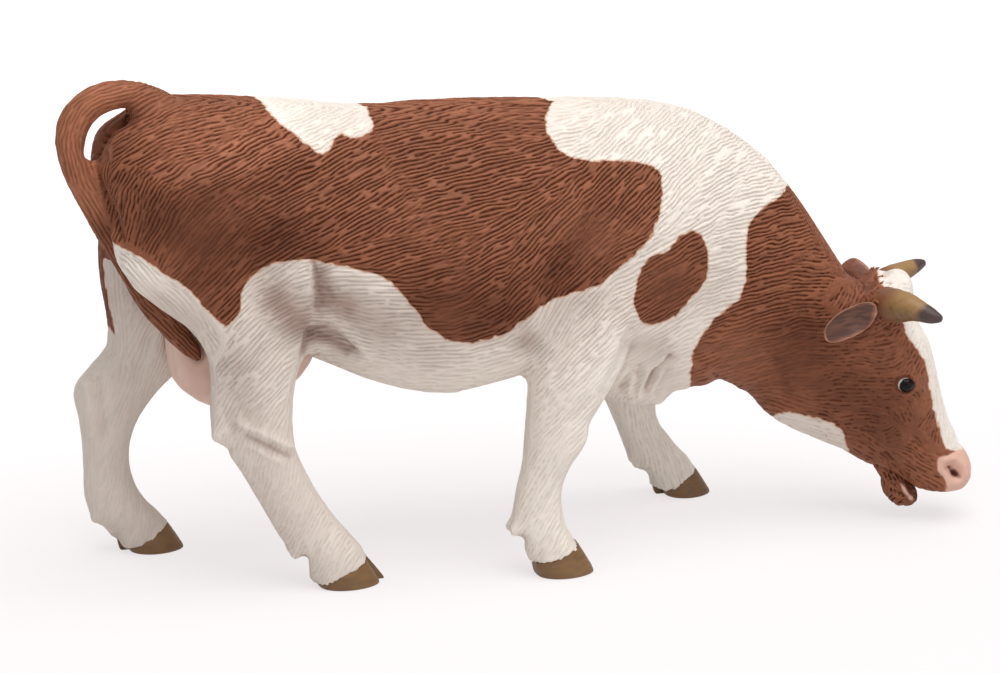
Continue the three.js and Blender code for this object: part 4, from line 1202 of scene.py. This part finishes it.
def claw(name, side, lead, trim):
    """One claw on the given side of the hoof, in rings from the sole to the coronet."""
    low, high = box_of(name + "_hoof")
    middle = (low[1] + high[1]) / 2
    turn = full_turn(CLAW_SIDES)
    along = 0.5 + 0.5 * np.cos(turn)
    outer = np.where(np.sin(turn) > 0, np.abs(np.sin(turn)) ** 0.75, -0.04 * np.abs(np.sin(turn)))
    rings = []
    for step, rise in enumerate(np.r_[0.0, 0.03, np.linspace(0.1, 1.0, 12)]):
        inset = WALL_RING_DEPTH * math.sin(rise * WALL_RING_TURN) - WALL_BULGE * rise * (1 - rise)
        inset = SOLE_BEVEL[step] if step < len(SOLE_BEVEL) else inset
        heel = low[0] + 0.5 * (1 - rise) + inset + trim
        toe = high[0] - (TOE_LEAN + 0.9 * max(lead, 0)) * rise - inset + lead
        x = heel + (toe - heel) * along
        gap = CLEFT_HEEL + (CLEFT_TOE - CLEFT_HEEL) * along
        half = HOOF_WIDTH / 2 - inset - CORONET_INSET * rise - gap
        y = middle + side * (gap + outer * half * (1 - TOE_NARROWING * along ** 3))
        climb = CORONET_TOE[name] + 0.2 * lead - CORONET_HEEL[name]
        top = CORONET_HEEL[name] + CORONET_OVERLAP + climb * along
        rings.append(np.stack([x, y, rise * top], -1))
    return ringed(rings)


horn_wall, tree, shader = new_paint("hoof_horn")
place = object_place(tree)
streaks = stretched_noise(tree, place, (500, 500, 1500), (0, 0, 0), 3.0)
blotch = stretched_noise(tree, place, (180, 180, 240), (5, 0, 0), 2.0)
shade = computed(tree, "ADD", computed(tree, "MULTIPLY", streaks, 0.5),
                 computed(tree, "MULTIPLY", blotch, 0.6))
dark_share = eased(tree, shade, 0.4, 0.75, 0.5, 0.0)
link(tree, colour_mix(tree, dark_share, HOOF_BROWN, HOOF_DARK), shader.inputs["Base Color"])
link(tree, eased(tree, streaks, 0.3, 0.7, 0.36, 0.52), shader.inputs["Roughness"])
bumped(tree, shader, streaks, 0.35, 0.0001)

for name in LEGS:
    inner = 1 if name.startswith("right") else -1
    outer_claw = claw(name, -inner, OUTER_LEAD[name], 0.0)
    inner_claw = claw(name, inner, INNER_LEAD[name], HEEL_TRIM[name])
    mesh = rounded(joined([outer_claw, inner_claw]))
    mesh.materials.append(horn_wall)
    piece(name + "_claws", mesh, name + "_hoof")


# Horns: solid tapering cones, olive with a dark tip and painted shade on the underside, plugged into the
# poll.
# Places on the head are along the straightened spine, to the cow's left and up, in mm.
HORN_LINES = {
    "right": [(55.2, -5.6, 34.6), (56.6, -7.8, 34.95), (58.1, -9.7, 35.3), (59.2, -11.0, 35.35), (60.4,
    -12.1, 35.15), (61.6, -12.9, 34.85), (62.6, -13.4, 34.65)], "left": [(55.2, 4.6, 34.6), (57.2, 6.8,
    35.1), (59.4, 8.9, 35.6), (61.0, 10.2, 35.95), (62.2, 11.1, 36.15)]}
HORN_RADII = {"right": [2.6, 2.55, 2.2, 1.8, 1.45, 1.15, 0.7], "left": [2.0, 1.9, 1.45, 1.1, 0.65]}
HORN_SIDES = 28
HORN_STEPS = 40
GROWTH_RING_DEPTH = 0.018
GROWTH_RING_TURN = 46
HORN_ROOT = (0.215, 0.085, 0.040)
HORN_TAN = (0.335, 0.188, 0.070)
HORN_OLIVE_AND_SHADE = (0.16, 0.080, 0.030)
HORN_TIP = (0.068, 0.038, 0.034)


def through(points, count):
    """Even steps of a smooth curve through the points."""
    points = np.asarray(points, float)
    points = points[:, None] if points.ndim == 1 else points
    ends = np.vstack([2 * points[0] - points[1], points, 2 * points[-1] - points[-2]])
    spots = np.linspace(0, len(points) - 1, count)
    start = np.minimum(spots.astype(int), len(points) - 2)
    t = (spots - start)[:, None]
    a, b, c, d = (ends[start + k] for k in range(4))
    return 0.5 * (2 * b + (c - a) * t + (2 * a - 5 * b + 4 * c - d) * t ** 2
                  + (3 * b - a - 3 * c + d) * t ** 3)


def swept(line, radii, sides, steps):
    """A tapering round bar along a smooth curve, with a rounded far end."""
    path, radius = through(line, steps), through(radii, steps)[:, 0]
    course = np.gradient(path, axis=0)
    course /= np.linalg.norm(course, axis=1)[:, None]
    side = np.cross(course, (0, 0, 1))
    side /= np.linalg.norm(side, axis=1)[:, None]
    top = np.cross(side, course)
    turn = full_turn(sides)[:, None]
    rings = [path[i] + radius[i] * (np.cos(turn) * side[i] + np.sin(turn) * top[i]) for i in range(steps)]
    rings.append(path[-1] + course[-1] * radius[-1] * 0.7 + (rings[-1] - path[-1]) * 0.6)
    return np.array(rings)


def frayed(tree, name, noise, amount):
    """A value carried by the mesh, made ragged by a noise."""
    ragged = computed(tree, "MULTIPLY", computed(tree, "SUBTRACT", noise, 0.5), amount)
    return computed(tree, "ADD", carried(tree, name, "Fac"), ragged)


horn_paint, tree, shader = new_paint("horn_paint")
place = object_place(tree)
mottle = stretched_noise(tree, place, (420, 420, 420), (0, 0, 0), 3.0)
grain = stretched_noise(tree, place, (350, 1300, 1300), (0, 9, 0), 2.0)
tip_edge = frayed(tree, "reach", mottle, 0.22)
# Painted shade: the horn turns darker olive towards its underside, on top of the olive grain.
underside_shade = computed(tree, "MULTIPLY", carried(tree, "shaded_underside", "Fac"), 0.9)
olive_share = eased(tree, computed(tree, "ADD", grain, underside_shade), 0.5, 1.45, 0.0, 1.0)
tan = colour_mix(tree, olive_share, HORN_TAN, HORN_OLIVE_AND_SHADE)
tan = colour_mix(tree, eased(tree, tip_edge, 0.12, 0.34, 1.0, 0.0), tan, HORN_ROOT)
tan = colour_mix(tree, eased(tree, tip_edge, 0.60, 0.74, 0.0, 1.0), tan, HORN_TIP)
link(tree, tan, shader.inputs["Base Color"])
link(tree, eased(tree, mottle, 0.3, 0.7, 0.38, 0.55), shader.inputs["Roughness"])
bumped(tree, shader, grain, 0.3, 0.0001)

for side in ("right", "left"):
    rings = swept(HORN_LINES[side], HORN_RADII[side], HORN_SIDES, HORN_STEPS)
    count, around = rings.shape[:2]
    wave = np.sin(np.linspace(0, GROWTH_RING_TURN, count)) * (1 - np.linspace(0, 1, count)) ** 1.5
    wave = 1 + GROWTH_RING_DEPTH * wave
    rings = rings.mean(1)[:, None] + (rings - rings.mean(1)[:, None]) * wave[:, None, None]
    mesh = joined([head_rings(rings)])
    reach = np.repeat(np.linspace(0, 1, count), around)
    store(mesh, "reach", np.r_[reach, 0, 1])
    # Painted shade grows towards each horn's underside.
    shaded_underside = np.tile(0.5 - 0.5 * np.sin(full_turn(around)), count)
    store(mesh, "shaded_underside", np.r_[shaded_underside, 0, 0])
    mesh.materials.append(horn_paint)
    piece(side + "_horn_cone", rounded(mesh), side + "_horn")


# Ears: cupped leaves with a rolled rim, brown hair outside and bare grey-brown skin inside.
# Thin castings, plugged into the head behind the horns.
EARS = {
    "right": {"root": (54.0, -8.7, 34.1), "tip": (45.1, -12.4, 32.2), "across": (0.75, 0, 4.1),
    "inside": -1}, "left": {"root": (54.4, 7.2, 33.0), "tip": (50.6, 12.3, 35.6), "across": (1.2, -0.9,
    3.6), "inside": 1}}
EAR_HALF = 2.75
EAR_THICK = 0.85
EAR_CUP = 1.5
EAR_SIDES, EAR_STEPS = 36, 26
EAR_OUTLINE_POWER = 2.6
EAR_RIPPLE = 0.10
EAR_BROWN = (0.26, 0.095, 0.055)
EAR_INSIDE = (0.165, 0.066, 0.040)
EAR_BROWN_DARK = tuple(0.7 * c for c in EAR_BROWN)
EAR_INSIDE_DARK = tuple(0.5 * c for c in EAR_INSIDE)
EAR_RIM = (0.42, 0.20, 0.13)

ear_paint, tree, shader = new_paint("ear_paint")
fluff = stretched_noise(tree, object_place(tree), (350, 900, 1900), (0, 0, 0), 3.0)
back_hair = colour_mix(tree, eased(tree, fluff, 0.35, 0.65, 0.0, 1.0), EAR_BROWN_DARK, EAR_BROWN)
inner_skin = colour_mix(tree, eased(tree, fluff, 0.35, 0.7, 0.0, 1.0), EAR_INSIDE_DARK, EAR_INSIDE)
inner_share = eased(tree, carried(tree, "inside", "Fac"), 0.35, 0.75, 0.0, 1.0)
hide = colour_mix(tree, inner_share, back_hair, inner_skin)
rim_share = eased(tree, frayed(tree, "rim", fluff, 0.8), 0.6, 0.95, 0.0, 0.8)
link(tree, colour_mix(tree, rim_share, hide, EAR_RIM), shader.inputs["Base Color"])
shader.inputs["Roughness"].default_value = 0.55
bumped(tree, shader, fluff, 0.6, 0.00015)

for side, ear in EARS.items():
    root, tip, across = (np.array(ear[k], float) for k in ("root", "tip", "across"))
    along = tip - root
    across /= np.linalg.norm(across)
    hollow = np.cross(along, across)
    hollow *= ear["inside"] * np.sign(hollow[1]) / np.linalg.norm(hollow)
    turn = full_turn(EAR_SIDES)
    u, back = np.cos(turn), np.sin(turn)
    rings, inside, rim = [], [], []
    for t in np.linspace(0.0, 1.0, EAR_STEPS):
        wide = max(0.05, math.sqrt(max(0.0, 1 - abs(2 * t - 1) ** EAR_OUTLINE_POWER)) * (1 - 0.12 * t))
        half = EAR_HALF * wide
        cup = EAR_CUP * wide * (1 - u ** 2) * (0.4 + 0.6 * ramp(t, 0, 0.3))
        ripple = EAR_RIPPLE * np.sin(9 * t + 3 * u)
        depth = cup + back * EAR_THICK / 2 * math.sqrt(wide) + ripple * (1 - np.abs(u))
        rings.append(root + along * t + np.outer(u * half, across) - np.outer(depth, hollow))
        inside.append((back < 0) * (1 - np.abs(u) ** 5) * ramp(t, 0.02, 0.15))
        rim.append(np.clip(np.abs(u) ** 4 + ramp(t, 0.82, 1.0) + 1 - ramp(t, 0.0, 0.14), 0, 1))
    mesh = joined([head_rings(np.array(rings))])
    store(mesh, "inside", np.r_[np.ravel(inside), 0, 0])
    store(mesh, "rim", np.r_[np.ravel(rim), 0, 1])
    mesh.materials.append(ear_paint)
    piece(side + "_ear_leaf", rounded(mesh), side + "_ear")


# Eyes: glossy dark beads behind the lids, with a thin pale ring painted round the iris.
# Each is pressed into its socket in the head.
EYE_BLACK = (0.004, 0.004, 0.004)
EYE_BROWN = (0.014, 0.011, 0.008)
EYE_RING = (0.75, 0.72, 0.68)
EYE_SIDES, EYE_STEPS = 40, 30
EYE_SCALE = 0.95
EYE_LOOK = (0.30, 1.0, -0.06)
EYE_SHIFT = np.array((-0.25, 0.0, -0.6))

eye_paint, tree, shader = new_paint("eye_paint")
speck = stretched_noise(tree, object_place(tree), (1500, 1500, 1500), (0, 0, 0), 2.0)
iris = colour_mix(tree, eased(tree, speck, 0.4, 0.7, 0.0, 1.0), EYE_BLACK, EYE_BROWN)
ring_share = eased(tree, frayed(tree, "reach", speck, 0.12), 0.78, 0.83, 0.0, 1.0)
link(tree, colour_mix(tree, ring_share, iris, EYE_RING), shader.inputs["Base Color"])
shader.inputs["Roughness"].default_value = 0.05
shader.inputs["Specular IOR Level"].default_value = 0.14

for side in ("right", "left"):
    low, high = box_of(side + "_eye")
    middle, radius = (low + high) / 2 + EYE_SHIFT, EYE_SCALE * (high[2] - low[2]) / 2
    look = np.array(EYE_LOOK) * (1, -1 if side == "right" else 1, 1)
    look = turned(np.vstack([(60, 0, 0), (60, 0, 0) + look]))
    look = look[1] - look[0]
    look /= np.linalg.norm(look)
    wide = np.cross(look, (0, 0, 1))
    wide /= np.linalg.norm(wide)
    tall = np.cross(wide, look)
    turn = full_turn(EYE_SIDES)[:, None]
    rings, reach = [], []
    for polar in np.linspace(0.03, math.pi - 0.03, EYE_STEPS):
        bulge = 1 + 0.06 * max(0.0, math.cos(polar)) ** 6
        around = np.cos(turn) * wide * 1.05 + np.sin(turn) * tall * 0.95
        rings.append(middle + radius * bulge * (look * math.cos(polar) + math.sin(polar) * around))
        reach.append(np.full(EYE_SIDES, math.sin(min(polar, math.pi / 2))))
    mesh = joined([ringed(rings)])
    store(mesh, "reach", np.r_[np.ravel(reach), 0, 1])
    mesh.materials.append(eye_paint)
    piece(side + "_eye_bead", mesh, side + "_eye")


# Lower jaw: chin and lower lip, a small casting plugged under the skull.
# The hair of the chin is carved like the coat; a pale strip of teeth shows at the lip.
JAW_FILL = 0.2
JAW_GRAIN = 0.3
TEETH = [(901, 484), (905, 491), (911.5, 498)]
TEETH_HALF = 1.6
LIP_LINE = [(905, 481), (909, 489), (915, 497)]
CHIN_FORMS = [
    (TEETH, 2.5, 0.25), ([(896, 484), (900, 493), (908, 503)], 2.0, -0.3), (LIP_LINE, 2.0, -0.35),
    ([(892, 492)], 8, 0.35)]
JAW_ROOT_FORMS = [([(868, 470), (875, 482)], 7, -0.9)]
CHIN_LIE = [(880, 472, -40), (890, 480, -60), (888, 492, 75), (900, 500, 20), (908, 486, -55)]

jaw = voxel_skin(merged_copy({"lower_jaw": JAW_FILL}), JAW_GRAIN)
set_points(jaw, smoothed(points_of(jaw), edges_of(jaw), CAST_SMOOTHING, 1.0))
jaw = rounded(jaw)
moulded(jaw, CHIN_FORMS)
moulded(jaw, JAW_ROOT_FORMS, all_round=True)
co = points_of(jaw)
pic = picture(right_twin(co))
twin_normal = normals_of(jaw)
twin_normal[straightened(co)[:, 1] > 0, 1] *= -1
lay_hair(jaw, right_twin(co), halved(mean_course(pic, [(CHIN_LIE, FACE_REACH, 1.0)])), twin_normal)
teeth = (TEETH_HALF - line_distance(pic, TEETH)) / PIXELS_PER_MM
store(jaw, "brown", np.full(len(co), FAR_INSIDE))
store(jaw, "bare", teeth)
store(jaw, "carve", 0.9 * (1 - ramp(teeth, -0.5, -0.1)))
# Painted shade along the lip line, over a faint overall tone.
store(jaw, "airbrush_and_shading", 0.12 + 0.35 * stroke(pic, LIP_LINE, 3))
store(jaw, "dash", np.full(len(co), 0.8))
piece("lower_jaw_skin", evaluated(jaw, carve), "lower_jaw")


# Udder: a bag of four quarters with a teat each, in soft pink skin, plugged under the belly.
# One casting, with the clefts between the quarters sunk into it.
UDDER_GRAIN = 0.35
UDDER_PINK = (0.77, 0.55, 0.465)
UDDER_ROSE = (0.66, 0.41, 0.33)

udder = voxel_skin(merged_copy({"udder": 0.0}), UDDER_GRAIN)
co = smoothed(points_of(udder), edges_of(udder), 5, 1.0)
low, high = box_of("udder")
middle = (low + high) / 2
lowness = 1 - ramp(co[:, 2], low[2] + 4, high[2] - 4)
long_cleft = 0.55 * np.exp(-((co[:, 1] - middle[1]) / 0.9) ** 2)
cross_cleft = 0.35 * np.exp(-((co[:, 0] - middle[0]) / 1.2) ** 2)
set_points(udder, co)
set_points(udder, co - normals_of(udder) * ((long_cleft + cross_cleft) * lowness)[:, None])
udder = rounded(udder)

udder_skin, tree, shader = new_paint("udder_skin")
place = object_place(tree)
blush = stretched_noise(tree, place, (160, 160, 120), (0, 0, 0), 2.0)
folds = stretched_noise(tree, place, (900, 900, 260), (3, 0, 0), 3.0)
rose_share = eased(tree, blush, 0.4, 0.7, 0.0, 0.7)
link(tree, colour_mix(tree, rose_share, UDDER_PINK, UDDER_ROSE), shader.inputs["Base Color"])
shader.inputs["Roughness"].default_value = 0.5
shader.inputs["Specular IOR Level"].default_value = 0.3
bumped(tree, shader, folds, 0.5, 0.00015)
udder.materials.clear()
udder.materials.append(udder_skin)
udder.shade_smooth()
piece("udder_bag", udder, "udder")


# Tufts: locks of hair that stand off the skin on the poll and round the horns.
# They are cast with the piece that they grow on, and painted with it.
ROOT_DEPTH = 0.3
LOCK_WIDTH = 0.34
POLL_LOCK_COUNT, POLL_LOCK_LENGTH = 26, 1.5
COLLAR_LOCK_COUNT, COLLAR_LOCK_LENGTH = 34, 1.6
LOCK_SIDES, LOCK_STEPS = 12, 9
LOCK_BEND = 0.2
LOCK_FLATNESS = 0.65
STRAY = 0.2
LOCK_SCALES = (0.6, 1.15)

locks = bpy.data.node_groups.new("hair_locks", "GeometryNodeTree")
lock_inputs = new_sockets(locks, "INPUT", {"Geometry": "Geometry", "Density": "Float", "Length": "Float",
                                           "Width": "Float", "Seed": "Int", "Coat": "Material"})
new_sockets(locks, "OUTPUT", {"Geometry": "Geometry"})
entry = node(locks, "NodeGroupInput")
leave = node(locks, "NodeGroupOutput")
roots = node(locks, "GeometryNodeDistributePointsOnFaces", distribute_method="RANDOM")
link(locks, entry.outputs["Geometry"], roots.inputs["Mesh"])
link(locks, entry.outputs["Density"], roots.inputs["Density"])
link(locks, entry.outputs["Seed"], roots.inputs["Seed"])

cone = node(locks, "GeometryNodeMeshCone")
cone.inputs["Vertices"].default_value = LOCK_SIDES
cone.inputs["Side Segments"].default_value = LOCK_STEPS
cone.inputs["Radius Top"].default_value = 0
link(locks, entry.outputs["Width"], cone.inputs["Radius Bottom"])
link(locks, entry.outputs["Length"], cone.inputs["Depth"])
parts = node(locks, "ShaderNodeSeparateXYZ")
link(locks, node(locks, "GeometryNodeInputPosition").outputs[0], parts.inputs[0])


def lock_sum(operation, first, second):
    return computed(locks, operation, first, second)


reach = lock_sum("DIVIDE", parts.outputs[2], entry.outputs["Length"])
taper = lock_sum("POWER", lock_sum("SUBTRACT", 1.001, reach), -0.4)
belly = lock_sum("MULTIPLY", taper, lock_sum("ADD", 1.0, lock_sum("MULTIPLY", reach, 0.6)))
bend = lock_sum("MULTIPLY", lock_sum("MULTIPLY", reach, reach),
                lock_sum("MULTIPLY", entry.outputs["Length"], LOCK_BEND))
wide = lock_sum("ADD", lock_sum("MULTIPLY", parts.outputs[0], belly), bend)
thick = lock_sum("MULTIPLY", lock_sum("MULTIPLY", parts.outputs[1], belly), LOCK_FLATNESS)
shaped = node(locks, "ShaderNodeCombineXYZ")
for axis, value in enumerate((wide, thick, parts.outputs[2])):
    link(locks, value, shaped.inputs[axis])
lock = node(locks, "GeometryNodeSetPosition")
link(locks, cone.outputs["Mesh"], lock.inputs["Geometry"])
link(locks, shaped.outputs[0], lock.inputs["Position"])
# Each lock stores a painted shade that is strongest at its root.
shaded = node(locks, "GeometryNodeStoreNamedAttribute", data_type="FLOAT", domain="POINT")
shaded.inputs["Name"].default_value = "root_shade"
link(locks, lock.outputs[0], shaded.inputs["Geometry"])
link(locks, lock_sum("SUBTRACT", 1.0, reach), shaded.inputs["Value"])


def chance(kind, low, high, shift):
    """A random value between two limits; the shift sets its seed apart from the others."""
    draw = node(locks, "FunctionNodeRandomValue", data_type=kind)
    sockets = [s for s in draw.inputs if s.enabled]
    sockets[0].default_value, sockets[1].default_value = low, high
    seed = next(s for s in sockets if s.name == "Seed")
    link(locks, lock_sum("ADD", entry.outputs["Seed"], shift), seed)
    return next(s for s in draw.outputs if s.enabled)


course = node(locks, "GeometryNodeInputNamedAttribute", data_type="FLOAT_VECTOR")
course.inputs["Name"].default_value = "course"
strayed = node(locks, "ShaderNodeVectorMath", operation="ADD")
link(locks, course.outputs["Attribute"], strayed.inputs[0])
link(locks, chance("FLOAT_VECTOR", (-STRAY,) * 3, (STRAY,) * 3, 1), strayed.inputs[1])
spin = node(locks, "ShaderNodeCombineXYZ")
link(locks, chance("FLOAT", 0.0, 6.28, 2), spin.inputs[2])
aimed = node(locks, "FunctionNodeAlignRotationToVector", axis="Z")
link(locks, spin.outputs[0], aimed.inputs["Rotation"])
link(locks, strayed.outputs[0], aimed.inputs["Vector"])
planted = node(locks, "GeometryNodeInstanceOnPoints")
link(locks, roots.outputs["Points"], planted.inputs["Points"])
link(locks, shaded.outputs[0], planted.inputs["Instance"])
link(locks, aimed.outputs[0], planted.inputs["Rotation"])
link(locks, chance("FLOAT", *LOCK_SCALES, 3), planted.inputs["Scale"])
realized = node(locks, "GeometryNodeRealizeInstances")
link(locks, planted.outputs[0], realized.inputs[0])
smooth = node(locks, "GeometryNodeSetShadeSmooth")
link(locks, realized.outputs[0], smooth.inputs[0])
painted = node(locks, "GeometryNodeSetMaterial")
link(locks, smooth.outputs[0], painted.inputs["Geometry"])
link(locks, entry.outputs["Coat"], painted.inputs["Material"])
link(locks, painted.outputs[0], leave.inputs["Geometry"])


def tufted(name, keep, course, count, length, seed):
    """Locks rooted on the kept faces of the skin, leaning along the course given at each face corner."""
    used, faces = np.unique(corners[keep], return_inverse=True)
    patch = bpy.data.meshes.new("patch")
    roots = skin_points[used] - ROOT_DEPTH * skin_normals[used]
    patch.from_pydata((roots * MM).tolist(), [], faces.reshape(-1, 4).tolist())
    for layer in COAT_LAYERS:
        values = layer_values(body, layer)[used]
        store(patch, layer, values * 0 if layer == "carve" else values)
    store(patch, "course", np.broadcast_to(course, skin_points.shape)[used] + 0.0)
    area = sum(polygon.area for polygon in patch.polygons)

    def grow(holder):
        add_nodes(holder, locks, lock_inputs, {"Density": count / area, "Length": length * MM,
                                               "Width": LOCK_WIDTH * MM, "Seed": seed, "Coat": coat})

    piece(name, evaluated(patch, grow), "head_and_neck")


def lying(direction, lift):
    """A course that runs along the skin in one direction and rises off it a little."""
    flat = direction - (skin_normals * direction).sum(1)[:, None] * skin_normals
    return flat / (np.linalg.norm(flat, axis=1)[:, None] + 0.2) + lift * skin_normals


head_spots = straightened(centre)
on_skull = owner == "head_and_neck"
poll = on_skull & (head_spots[:, 0] > 52.8) & (head_spots[:, 0] < 55.6) & (head_spots[:, 2] > 35)
forward = lying(np.array((0.7, -0.2, 0.6)), 0.2)
tufted("poll_locks", poll, forward, POLL_LOCK_COUNT, POLL_LOCK_LENGTH, seed=3)

for seed, side in enumerate(("right", "left")):
    line = turned(np.array(HORN_LINES[side]))
    station, gap = line_station(centre, line)
    ring = on_skull & (gap < 4.0) & (station < 4.5)
    ring = ring & (np.abs(head_spots[:, 1]) > 5.0) & (head_spots[:, 0] < 57.5)
    growing = line[2] - line[0]
    growing /= np.linalg.norm(growing)
    tufted(side + "_horn_collar_locks", ring, lying(growing, 0.12), COLLAR_LOCK_COUNT, COLLAR_LOCK_LENGTH,
           seed=11 + seed)
